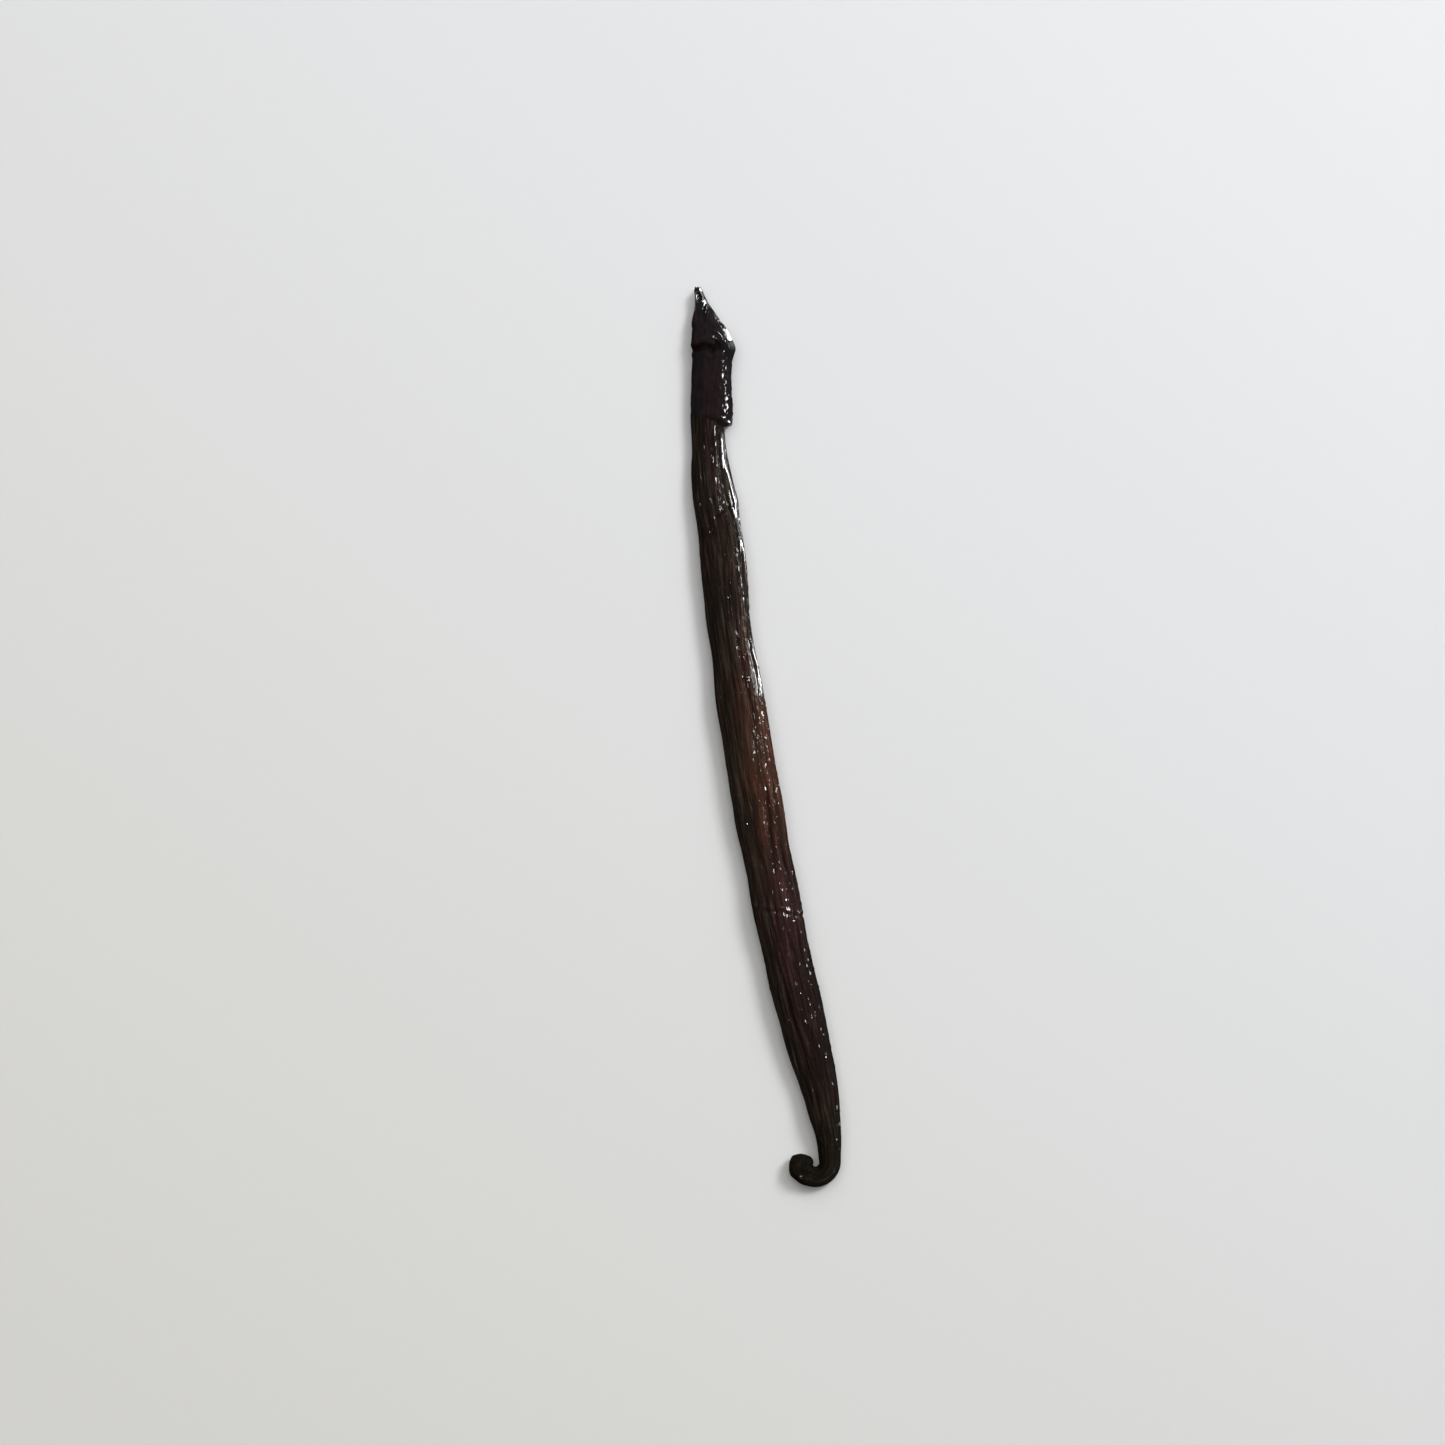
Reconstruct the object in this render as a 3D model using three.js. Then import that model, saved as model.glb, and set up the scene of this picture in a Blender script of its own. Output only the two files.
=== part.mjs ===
// A cured vanilla pod, lying on its flattened underside. The ragged blossom end points to +Y. From there
// the pod runs towards -Y: a tapered tip, a smooth collar of older skin, the long wrinkled body that
// bends a little to either side, and the stem, curled round into a small hook.
// Millimetres, +Z up. Places along the pod are measured on its middle line from the blossom end.
// Angles round the pod run from its +X edge (0) over the top (90) to its -X edge (180).

import * as THREE from 'three';

// ---- Driving sizes ----
const LENGTH = 174.4;          // along the middle line
const FIRST_HEADING = 7;       // degrees the tip leans from -Y towards +X
const BODY_FLATNESS = 0.62;    // thickness over width along the body
const STEM_FLATNESS = 0.9;     // and along the stem, which dries rounder
const STEM_FROM = 146;         // the section turns rounder from here
const STEM_TO = 160;           // to here
const SQUARENESS = 2.3;        // exponent of the section: 2 is an ellipse, more is boxier
const SINK = 0.3;              // depth of body pressed flat against the table
const TIP_LIFT = 1.6;          // clear height under the blossom end
const TIP_DOWN_AT = 14;        // the underside reaches the table here
const HEAD_LIFT = 0.5;         // clear height under the end of the hook
const HEAD_UP_FROM = 163;

// Side bends as arcs: [middle of the arc, length of the arc, turn in degrees towards +X]
const BENDS = [
  [11.5, 5, -22],
  [19, 8, 5.5],
  [29.5, 10, 6],
  [38.5, 8, 8.2],
  [48.5, 10, -8.2],
  [63, 10, 4.3],
  [95, 20, 2],
  [126, 14, 3.3],
  [151.5, 5, -3.5],
  [159.5, 4, -8],
  [168.8, 9.2, -197],
];

// Full width at places along the pod: [place, width]
const WIDTHS = [
  [0, 1.4], [2.4, 2.3], [6.3, 4.7], [9.5, 7.2], [11.2, 8.1],
  [14, 7.3], [21, 6.6], [29, 6.1], [33, 6.5], [41, 7.5],
  [53, 8.6], [66, 8.5], [80.7, 9.5], [98.8, 9.5], [105.5, 9.0],
  [114, 9.4], [124.5, 8.9], [131, 9.2], [144.3, 8.0], [151, 6.9],
  [155, 6.2], [159.5, 4.9], [164.5, 4.0], [169, 3.7], [171.8, 4.5], [LENGTH, 4.5],
];
const HEAD_ROUNDING = 2;       // length over which the end of the hook rounds off
const HEAD_FULLNESS = 2.3;     // exponent of that rounding: 2 is an ellipse, more is blunter
const HEAD_SWING = 0.5;        // the end of the hook leans this far in towards the stem
const HEAD_SWING_FROM = 171.5;

// The three valves of the pod show as low ridges that wind slowly round it.
const VALVE_SHARE = 0.035;     // height of a ridge over the radius
const VALVE_TOP = 62;          // degrees round the pod at the blossom end
const VALVE_TWIST = 0.35;      // degrees of winding for each millimetre

// Furrows that the drying skin folds into, the largest on the upper side.
const FURROWS = [
  { from: 53, to: 86, start: 80, end: 64, half: 0.55, depth: 0.32 },
  { from: 46, to: 80, start: 87, end: 103, half: 0.6, depth: 0.26 },
  { from: 47, to: 79, start: 26, end: 40, half: 0.5, depth: 0.42 },
  { from: 92, to: 111, start: 62, end: 82, half: 0.5, depth: 0.36 },
  { from: 94, to: 108, start: 96, end: 109, half: 0.5, depth: 0.26 },
  { from: 93, to: 111, start: 42, end: 45, half: 0.45, depth: 0.32 },
  { from: 120, to: 152, start: 74, end: 88, half: 0.55, depth: 0.26 },
  { from: 126, to: 158, start: 112, end: 102, half: 0.55, depth: 0.3 },
];
const SCATTERED_FURROWS = 22;
const FURROW_SEED = 7;

// Short creases that cross the pod: [place, slant in mm per unit across, from across, to across,
// half-width, depth], where across runs from -1 at the -X edge to 1 at the +X edge.
const CREASES = [
  [11.75, -0.55, -1.1, 0.5, 0.6, 0.45],
  [42.7, -1.4, -0.4, 1.1, 0.45, 0.22],
  [116.9, 1.6, -0.9, 1.1, 0.45, 0.2],
];

// The collar of older skin ends in an uneven step, highest at the +X edge.
const COLLAR_FROM = 10;
const COLLAR_EDGE = 24.6;
const COLLAR_SLANT = 1.1;      // the step lies this much further along at the +X edge than on top
const COLLAR_WOBBLE = 0.35;    // and wavers by this much round the pod
const COLLAR_STEP = 0.3;       // height on top
const COLLAR_FLARE = 1.55;     // height at the +X edge
const COLLAR_FACE = 0.3;       // half of the length over which the step falls
const COLLAR_REACH = 5;        // rings this near to the step follow its course

// The shoulder at the +X edge, where the tapered tip meets the collar
const SHOULDER_AT = 11.7;
const SHOULDER_HEIGHT = 0.4;
const SHOULDER_HALF = 0.9;

// Below the collar a thin fold stands out along the +X edge: [place, height]
const EDGE_FOLD = [[26, 0], [32, 0.5], [36, 0.95], [40, 1.2], [44, 0.5], [50, 0.15], [60, 0]];
const EDGE_FOLD_ACROSS = 0.98; // its crest, where 1 is the very edge
const EDGE_FOLD_HALF = 0.5;

// The blossom end is torn off unevenly.
const TORN_BY = 0.5;
const TORN_REACH = 2.5;

// Low swellings and hollows along the body
const SWELLING = 0.1;

// ---- Facets ----
const SIDES = 38;
// [from, to, longest step between rings]: closest at the creases, the collar and the hook
const RING_STRETCHES = [
  [0, 10, 1],
  [10, 13.4, 0.5],
  [13.4, 23.4, 1.25],
  [23.4, 26, 0.33],
  [26, 41, 1.5],
  [41, 44.6, 0.6],
  [44.6, 115, 1.8],
  [115, 118.6, 0.6],
  [118.6, 158, 1.8],
  [158, LENGTH - HEAD_ROUNDING, 0.65],
];
const HEAD_RINGS = 5;

const radians = THREE.MathUtils.degToRad;
const { clamp, smoothstep } = THREE.MathUtils;

// A repeatable draw of numbers between 0 and 1
function seededDraw(seed) {
  let state = seed;
  return () => {
    state = (Math.imul(state, 1664525) + 1013904223) >>> 0;
    return state / 2 ** 32;
  };
}

// A smooth line through stations that never overshoots them
function throughStations(stations) {
  const xs = stations.map(([x]) => x);
  const ys = stations.map(([, y]) => y);
  const gaps = xs.slice(1).map((x, i) => x - xs[i]);
  const slopes = gaps.map((gap, i) => (ys[i + 1] - ys[i]) / gap);
  const tangents = ys.map((y, i) => {
    if (i === 0) return slopes[0];
    if (i === ys.length - 1) return slopes[i - 1];
    const before = slopes[i - 1];
    const after = slopes[i];
    if (before * after <= 0) return 0;
    const near = 2 * gaps[i] + gaps[i - 1];
    const far = gaps[i] + 2 * gaps[i - 1];
    return (near + far) / (near / before + far / after);
  });
  return (x) => {
    let i = 0;
    while (i < gaps.length - 1 && x > xs[i + 1]) i += 1;
    const t = (x - xs[i]) / gaps[i];
    const rest = 1 - t;
    return (1 + 2 * t) * rest * rest * ys[i]
      + t * rest * rest * gaps[i] * tangents[i]
      + t * t * (3 - 2 * t) * ys[i + 1]
      - t * t * rest * gaps[i] * tangents[i + 1];
  };
}

// ---- Middle line ----

// Heading in radians at a place: a straight stretch keeps it, and a bend turns it evenly.
function headingAt(place) {
  let heading = FIRST_HEADING;
  for (const [middle, length, turn] of BENDS) {
    heading += turn * clamp((place - middle) / length + 0.5, 0, 1);
  }
  return radians(heading);
}

// Points of the middle line every MIDDLE_STEP, walked from the blossom end
const MIDDLE_STEP = 0.05;

function walkMiddle() {
  const points = [[0, 0]];
  for (let place = 0; place < LENGTH; place += MIDDLE_STEP) {
    const [x, y] = points[points.length - 1];
    const heading = headingAt(place + MIDDLE_STEP / 2);
    points.push([x + Math.sin(heading) * MIDDLE_STEP, y - Math.cos(heading) * MIDDLE_STEP]);
  }
  return points;
}

const middle = walkMiddle();

function middleAt(place) {
  const i = clamp(Math.floor(place / MIDDLE_STEP), 0, middle.length - 2);
  const t = place / MIDDLE_STEP - i;
  const [ax, ay] = middle[i];
  const [bx, by] = middle[i + 1];
  return [ax + (bx - ax) * t, ay + (by - ay) * t];
}

// ---- Section ----

const bodyWidthAt = throughStations(WIDTHS);

// The end of the hook rounds off like a quarter of a superellipse.
function headShare(place) {
  const into = clamp((place - (LENGTH - HEAD_ROUNDING)) / HEAD_ROUNDING, 0, 1);
  return (1 - into ** HEAD_FULLNESS) ** (1 / HEAD_FULLNESS);
}

function widthAt(place) {
  return bodyWidthAt(place) * headShare(place);
}

function thicknessAt(place) {
  const rounder = smoothstep(place, STEM_FROM, STEM_TO);
  const flatness = BODY_FLATNESS + (STEM_FLATNESS - BODY_FLATNESS) * rounder;
  return widthAt(place) * flatness;
}

// Height of the section's middle above the table
function middleHeightAt(place) {
  const fullThickness = thicknessAt(Math.min(place, LENGTH - HEAD_ROUNDING));
  const tip = TIP_LIFT * (1 - smoothstep(place, 0, TIP_DOWN_AT));
  const head = HEAD_LIFT * smoothstep(place, HEAD_UP_FROM, LENGTH);
  return fullThickness / 2 - SINK + tip + head;
}

function rounded(value) {
  return Math.sign(value) * Math.abs(value) ** (2 / SQUARENESS);
}

// ---- Relief, in millimetres outwards ----

function valveRidges(place, angle, radius) {
  const top = radians(VALVE_TOP + VALVE_TWIST * place);
  return VALVE_SHARE * radius * Math.cos(3 * (angle - top));
}

function swellings(place, angle) {
  const slow = Math.sin(place / 3.7 + 2.1 * Math.sin(angle));
  const quick = Math.sin(place / 2.1 - 1.7 * Math.cos(angle) + 1);
  return SWELLING * (0.6 * slow + 0.4 * quick);
}

// Furrows all round the pod, each with its own length, course and depth
function scatteredFurrows() {
  const draw = seededDraw(FURROW_SEED);
  const furrows = [];
  for (let i = 0; i < SCATTERED_FURROWS; i += 1) {
    const length = 22 + 45 * draw();
    const from = 24 + (134 - length) * draw();
    const start = (360 / SCATTERED_FURROWS) * (i + 0.8 * draw());
    const end = start + 30 * (draw() - 0.5);
    furrows.push({
      from,
      to: from + length,
      start,
      end,
      half: 0.5 + 0.25 * draw(),
      depth: 0.12 + 0.16 * draw(),
    });
  }
  return furrows;
}

const furrows = [...FURROWS, ...scatteredFurrows()];

function furrowDepth(furrow, place, angle, radius) {
  const along = (place - furrow.from) / (furrow.to - furrow.from);
  if (along <= 0 || along >= 1) return 0;
  const centre = radians(furrow.start + (furrow.end - furrow.start) * along);
  const turn = Math.atan2(Math.sin(angle - centre), Math.cos(angle - centre));
  const away = (turn * radius) / furrow.half;
  const fade = Math.min(1, 3 * Math.sin(Math.PI * along));
  return furrow.depth * fade * Math.exp(-away * away);
}

function creaseDepth(crease, place, across) {
  const [at, slant, from, to, half, depth] = crease;
  const away = (place - at - slant * (across - (from + to) / 2)) / half;
  const inside = smoothstep(across, from - 0.2, from + 0.2) * (1 - smoothstep(across, to - 0.2, to + 0.2));
  return depth * inside * Math.exp(-away * away);
}

// How far the collar's step lies beyond COLLAR_EDGE at an angle
function collarCourse(angle) {
  return COLLAR_SLANT * Math.cos(angle) + COLLAR_WOBBLE * Math.sin(3 * angle + 0.6);
}

function collarHeight(place, angle) {
  const edge = COLLAR_EDGE + collarCourse(angle);
  const before = 1 - smoothstep(place, edge - COLLAR_FACE, edge + COLLAR_FACE);
  const grown = smoothstep(place, COLLAR_FROM, COLLAR_EDGE);
  const side = Math.cos(angle);
  const step = COLLAR_STEP * clamp(1 + side, 0, 1);
  const flare = (COLLAR_FLARE - COLLAR_STEP) * Math.max(0, side) ** 2;
  return before * grown * (step + flare);
}

function shoulderHeight(place, angle) {
  const away = (place - SHOULDER_AT) / SHOULDER_HALF;
  return SHOULDER_HEIGHT * Math.max(0, Math.cos(angle)) ** 3 * Math.exp(-away * away);
}

const edgeFoldAt = throughStations(EDGE_FOLD);

function edgeFoldHeight(place, angle) {
  const grown = edgeFoldAt(clamp(place, EDGE_FOLD[0][0], EDGE_FOLD[EDGE_FOLD.length - 1][0]));
  const inwards = (EDGE_FOLD_ACROSS - rounded(Math.cos(angle))) * (widthAt(place) / 2);
  const away = inwards / EDGE_FOLD_HALF;
  return grown * Math.exp(-away * away) * smoothstep(Math.sin(angle), -0.6, 0);
}

function reliefAt(place, angle) {
  const radius = (widthAt(place) + thicknessAt(place)) / 4;
  const across = rounded(Math.cos(angle));
  const onTop = Math.sin(angle) > -0.3;
  const full = smoothstep(radius, 0.5, 2.5);
  let height = valveRidges(place, angle, radius);
  height += collarHeight(place, angle) + shoulderHeight(place, angle) + edgeFoldHeight(place, angle);
  height += full * swellings(place, angle);
  for (const furrow of furrows) height -= full * furrowDepth(furrow, place, angle, radius);
  if (onTop) {
    for (const crease of CREASES) height -= full * creaseDepth(crease, place, across);
  }
  return height;
}

// ---- Skin ----

// One point of the skin: the section, swollen by the relief and pressed flat where it meets the table
function skinPoint(place, angle) {
  const [x, y] = middleAt(place);
  const heading = headingAt(place);
  const relief = reliefAt(place, angle) * headShare(place);
  const swing = HEAD_SWING * smoothstep(place, HEAD_SWING_FROM, LENGTH);
  const sideways = (widthAt(place) / 2) * rounded(Math.cos(angle)) + relief * Math.cos(angle) - swing;
  const up = (thicknessAt(place) / 2) * rounded(Math.sin(angle)) + relief * Math.sin(angle);
  const z = Math.max(0, middleHeightAt(place) + up);
  return [x + Math.cos(heading) * sideways, y + Math.sin(heading) * sideways, z];
}

// Where a ring crosses an angle: a ring is square to the pod, but follows the collar's step near it
// and the tear at the blossom end.
function placeOnRing(place, angle) {
  const near = Math.abs(place - COLLAR_EDGE) / COLLAR_REACH;
  const follow = 1 - smoothstep(near, 0, 1);
  const tear = 0.6 * Math.sin(2 * angle + 0.7) + 0.4 * Math.sin(5 * angle);
  const torn = 1 - smoothstep(place, 0, TORN_REACH);
  return place + follow * collarCourse(angle) + TORN_BY * torn * tear;
}

function ringPlaces() {
  const places = [];
  for (const [from, to, longest] of RING_STRETCHES) {
    const steps = Math.ceil((to - from) / longest);
    for (let i = 0; i < steps; i += 1) places.push(from + ((to - from) * i) / steps);
  }
  for (let i = 0; i < HEAD_RINGS; i += 1) {
    const into = Math.sin((Math.PI / 2) * (i / HEAD_RINGS));
    places.push(LENGTH - HEAD_ROUNDING + HEAD_ROUNDING * into);
  }
  return places;
}

// The closed skin: a ring of points at each place, joined to the next, with a point in the middle
// of either end
function skinGeometry() {
  const places = ringPlaces();
  const positions = [];
  for (const place of places) {
    for (let side = 0; side < SIDES; side += 1) {
      const angle = (2 * Math.PI * side) / SIDES;
      positions.push(...skinPoint(placeOnRing(place, angle), angle));
    }
  }
  const tip = positions.length / 3;
  positions.push(...middleAt(0), middleHeightAt(0));
  const head = tip + 1;
  positions.push(...skinPoint(LENGTH, 0));

  const triangles = [];
  const corner = (ring, side) => ring * SIDES + (side % SIDES);
  for (let side = 0; side < SIDES; side += 1) {
    triangles.push(tip, corner(0, side + 1), corner(0, side));
    for (let ring = 0; ring < places.length - 1; ring += 1) {
      const a = corner(ring, side);
      const b = corner(ring, side + 1);
      const c = corner(ring + 1, side + 1);
      const d = corner(ring + 1, side);
      triangles.push(a, b, c, a, c, d);
    }
    triangles.push(head, corner(places.length - 1, side), corner(places.length - 1, side + 1));
  }

  const geometry = new THREE.BufferGeometry();
  geometry.setAttribute('position', new THREE.Float32BufferAttribute(positions, 3));
  geometry.setIndex(triangles);
  geometry.computeVertexNormals();
  return geometry;
}

// Moves the pod so that the middle of its box, at table height, is the origin.
function centreOnTable(geometry) {
  geometry.computeBoundingBox();
  const box = geometry.boundingBox;
  geometry.translate(-(box.min.x + box.max.x) / 2, -(box.min.y + box.max.y) / 2, -box.min.z);
}

function makePod() {
  const geometry = skinGeometry();
  centreOnTable(geometry);
  const skin = new THREE.MeshStandardMaterial({ color: 0x2a1e19, roughness: 0.42, metalness: 0 });
  const pod = new THREE.Mesh(geometry, skin);
  pod.name = 'pod';
  return pod;
}

const vanillaPod = new THREE.Group();
vanillaPod.add(makePod());

export default vanillaPod;
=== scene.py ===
# %% [markdown]
# # A cured vanilla pod
#
# A vanilla pod is a long slim fruit. It is picked green and cured for months, until it is nearly black,
# limp, oily and wrinkled from end to end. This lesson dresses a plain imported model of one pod: its skin
# is made again with far finer wrinkles, and gets an oily, uneven finish.
#
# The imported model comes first, because everything else is measured from it. It is in metres, with the
# pod along Y, its blossom end towards +Y, and the table at zero height.

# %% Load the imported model
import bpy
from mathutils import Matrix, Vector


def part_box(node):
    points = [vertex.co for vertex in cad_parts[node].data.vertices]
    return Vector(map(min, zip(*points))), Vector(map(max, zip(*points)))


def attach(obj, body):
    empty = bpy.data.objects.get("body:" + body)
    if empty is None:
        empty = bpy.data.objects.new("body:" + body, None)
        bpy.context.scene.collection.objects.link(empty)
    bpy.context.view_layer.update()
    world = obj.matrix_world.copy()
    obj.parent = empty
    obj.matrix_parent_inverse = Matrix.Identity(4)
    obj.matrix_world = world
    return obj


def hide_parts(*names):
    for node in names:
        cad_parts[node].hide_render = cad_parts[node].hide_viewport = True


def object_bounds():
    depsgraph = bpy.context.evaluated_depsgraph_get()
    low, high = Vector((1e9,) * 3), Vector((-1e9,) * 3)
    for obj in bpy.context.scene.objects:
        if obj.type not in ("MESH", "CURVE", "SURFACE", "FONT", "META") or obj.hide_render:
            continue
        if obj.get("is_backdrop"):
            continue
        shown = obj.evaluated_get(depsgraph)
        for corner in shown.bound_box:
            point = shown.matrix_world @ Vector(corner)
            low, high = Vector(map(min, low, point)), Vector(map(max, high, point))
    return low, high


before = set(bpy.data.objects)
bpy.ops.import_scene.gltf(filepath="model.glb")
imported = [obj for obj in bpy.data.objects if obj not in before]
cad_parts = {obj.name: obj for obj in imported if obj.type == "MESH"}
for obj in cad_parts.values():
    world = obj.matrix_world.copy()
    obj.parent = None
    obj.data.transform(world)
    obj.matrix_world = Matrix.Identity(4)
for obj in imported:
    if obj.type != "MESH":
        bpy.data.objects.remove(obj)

cad_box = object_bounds()
print("packed nodes:", sorted(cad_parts))
print("packed box in mm:", [[round(v * 1000, 2) for v in corner] for corner in cad_box])

# %% [markdown]
# ## Units and small helpers
#
# The pod is only a hand long, so its sizes are easier to read in millimetres. They turn into metres in
# one place, where the mesh is made. The helpers below are used by every step: a soft step between two
# values, a plateau between two such steps, a line through stations that never overshoots them, and noise
# read at many points at once.

# %% Helpers
import math

import bpy
import numpy as np
from mathutils import Vector, noise

MM = 0.001
PATCH_SIDE_FADE = 0.15  # share of the half-width


def soft_step(values, low, high):
    """0 up to low, 1 from high on, and a smooth rise between them."""
    share = np.clip((values - low) / (high - low), 0, 1)
    return share * share * (3 - 2 * share)


def bell(away):
    return np.exp(-away * away)


def plateau(values, low, high, fade_in, fade_out=None):
    """1 from low to high, fading in before low and out past high."""
    after = fade_in if fade_out is None else fade_out
    return soft_step(values, low - fade_in, low) * (1 - soft_step(values, high, high + after))


def patch(place, across, from_place, to_place, from_across, to_across, soft=3.0):
    """1 inside a patch of the skin, fading out over soft millimetres along it and a little across."""
    along = plateau(place, from_place, to_place, soft)
    return along * plateau(across, from_across, to_across, PATCH_SIDE_FADE)


def through_stations(stations):
    """A function that passes smoothly through (place, value) stations and never overshoots them."""
    xs = np.array([x for x, _ in stations], float)
    ys = np.array([y for _, y in stations], float)
    gaps = np.diff(xs)
    slopes = np.diff(ys) / gaps
    tangents = np.zeros_like(ys)
    tangents[0], tangents[-1] = slopes[0], slopes[-1]
    for i in range(1, len(xs) - 1):
        before, after = slopes[i - 1], slopes[i]
        if before * after > 0:
            near = 2 * gaps[i] + gaps[i - 1]
            far = gaps[i] + 2 * gaps[i - 1]
            tangents[i] = (near + far) / (near / before + far / after)

    def value_at(x):
        i = np.clip(np.searchsorted(xs, x) - 1, 0, len(gaps) - 1)
        t = (x - xs[i]) / gaps[i]
        rest = 1 - t
        return ((1 + 2 * t) * rest**2 * ys[i] + t * rest**2 * gaps[i] * tangents[i]
                + t**2 * (3 - 2 * t) * ys[i + 1] - t**2 * rest * gaps[i] * tangents[i + 1])

    return value_at


def noise_at(x, y, z):
    """Smooth noise, between about -1 and 1, at each point of three arrays of one shape."""
    points = np.stack([x.ravel(), y.ravel(), z.ravel()], axis=1).tolist()
    values = np.fromiter((noise.noise(point) for point in points), float, len(points))
    return values.reshape(x.shape)


print("helpers ready")

# %% [markdown]
# ## The middle line
#
# A place along the pod is its distance, on the pod's middle line, from the blossom end. The line is a
# chain of straight stretches and arcs. Each arc is given by its middle, its length and its turn, so the
# pod can be bent somewhere else by changing one row. The last arc is the curled stem. A curve object
# could hold this line too, but rings of points are easier to place from a plain function.

# %% Middle line
LENGTH = 174.4
FIRST_HEADING = 7  # degrees
# [middle of the arc, length of the arc, turn in degrees from -Y towards +X]
BENDS = [
    [11.5, 5, -22],
    [19, 8, 5.5],
    [29.5, 10, 6],
    [38.5, 8, 8.2],
    [48.5, 10, -8.2],
    [63, 10, 4.3],
    [95, 20, 2],
    [126, 14, 3.3],
    [151.5, 5, -3.5],
    [159.5, 4, -8],
    [168.8, 9.2, -197],
]
MIDDLE_STEP = 0.05
MIDDLE_SPARE = 2  # millimetres walked before and past the pod


def heading_at(place):
    """The way the pod runs at a place, in radians from -Y towards +X."""
    heading = np.full_like(place, FIRST_HEADING, dtype=float)
    for middle, length, turn in BENDS:
        heading += turn * np.clip((place - middle) / length + 0.5, 0, 1)
    return np.radians(heading)


def walk_middle():
    """Points of the middle line every MIDDLE_STEP, from just before the blossom end to past the stem."""
    places = np.arange(-MIDDLE_SPARE, LENGTH + MIDDLE_SPARE, MIDDLE_STEP)
    headings = heading_at(places[:-1] + MIDDLE_STEP / 2)
    x = np.concatenate([[0], np.cumsum(np.sin(headings) * MIDDLE_STEP)])
    y = np.concatenate([[0], np.cumsum(-np.cos(headings) * MIDDLE_STEP)])
    x -= np.interp(0, places, x)
    y -= np.interp(0, places, y)
    return places, x, y


walked_places, walked_x, walked_y = walk_middle()


def middle_at(place):
    return np.interp(place, walked_places, walked_x), np.interp(place, walked_places, walked_y)


end_x, end_y = middle_at(np.array(LENGTH))
print(f"the middle line ends {-end_y:.1f} mm down the table and {end_x:.1f} mm to the side")

# %% [markdown]
# ## Width, thickness and height
#
# A ring of skin is a superellipse: an ellipse with slightly fuller corners, which is what a soft pod
# takes on when it lies on a tray for months. Its width comes from stations along the pod. The body is
# flatter than it is wide, and the thin stem dries almost round. Both ends lift a little off the table.

# %% Section sizes
BODY_FLATNESS = 0.62
STEM_FLATNESS = 0.9
STEM_FROM, STEM_TO = 146, 160
SQUARENESS = 2.3
SINK = 0.3
TIP_LIFT = 1.6
TIP_DOWN_AT = 14
HEAD_LIFT = 0.5
HEAD_UP_FROM = 163
HEAD_ROUNDING = 2
HEAD_FULLNESS = 2.3  # 2 gives a round end, more gives fuller corners
# (place, full width)
WIDTHS = [
    (0, 1.4), (2.4, 2.3), (6.3, 4.7), (9.5, 7.2), (11.2, 8.1),
    (14, 7.3), (21, 6.6), (29, 6.1), (33, 6.5), (41, 7.5),
    (53, 8.6), (66, 8.5), (80.7, 9.5), (98.8, 9.5), (105.5, 9.0),
    (114, 9.4), (124.5, 8.9), (131, 9.2), (144.3, 8.0), (151, 6.9),
    (155, 6.2), (159.5, 4.9), (164.5, 4.0), (169, 3.7), (171.8, 4.5), (LENGTH, 4.5),
]
body_width_at = through_stations(WIDTHS)


def head_share(place):
    """1 along the pod, and rounding off to 0 at the end of the stem."""
    into = np.clip((place - (LENGTH - HEAD_ROUNDING)) / HEAD_ROUNDING, 0, 1)
    return (1 - into**HEAD_FULLNESS) ** (1 / HEAD_FULLNESS)


def width_at(place):
    return body_width_at(place) * head_share(place)


def thickness_at(place):
    rounder = soft_step(place, STEM_FROM, STEM_TO)
    return width_at(place) * (BODY_FLATNESS + (STEM_FLATNESS - BODY_FLATNESS) * rounder)


def middle_height_at(place):
    full_thickness = thickness_at(np.minimum(place, LENGTH - HEAD_ROUNDING))
    tip = TIP_LIFT * (1 - soft_step(place, 0, TIP_DOWN_AT))
    head = HEAD_LIFT * soft_step(place, HEAD_UP_FROM, LENGTH)
    return full_thickness / 2 - SINK + tip + head


def rounded(value):
    return np.sign(value) * np.abs(value) ** (2 / SQUARENESS)


def straightened(place, angle):
    """Across, up and along coordinates, in millimetres, of the plain section on the straightened pod."""
    across = width_at(place) / 2 * rounded(np.cos(angle))
    up = thickness_at(place) / 2 * rounded(np.sin(angle))
    return np.broadcast_arrays(across, up, place + 0 * angle)


widest = max(float(width_at(np.array(float(place)))) for place in range(int(LENGTH)))
print(f"widest ring: {widest:.1f} mm")

# %% [markdown]
# ## Valves, swellings and furrows
#
# A pod grows from three valves, which stay as three low ridges that wind slowly round it. As it dries,
# the skin swells here and there and sinks into furrows along the pod. All of that could be sculpted by
# hand, but as sums of a place and an angle each form can be moved by a number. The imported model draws
# these forms by the same sums, so the fine skin lies on it everywhere. The eight deep furrows have
# places of their own, and the shallow ones come from a seeded draw.

# %% Valves and swellings
VALVE_SHARE = 0.035  # height of a ridge, as a share of the radius
VALVE_TOP, VALVE_TWIST = 62, 0.35  # degrees at the blossom end, and degrees more in each millimetre
SWELLING = 0.1
SLOW_SWELLING, QUICK_SWELLING = 3.7, 2.1  # millimetres along the pod for each radian


def valve_ridges(place, angle, radius):
    top = np.radians(VALVE_TOP + VALVE_TWIST * place)
    return VALVE_SHARE * radius * np.cos(3 * (angle - top))


def swellings(place, angle):
    slow = np.sin(place / SLOW_SWELLING + 2.1 * np.sin(angle))
    quick = np.sin(place / QUICK_SWELLING - 1.7 * np.cos(angle) + 1)
    return SWELLING * (0.6 * slow + 0.4 * quick)


print("three valves, which turn", VALVE_TWIST, "degrees in each millimetre")

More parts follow.
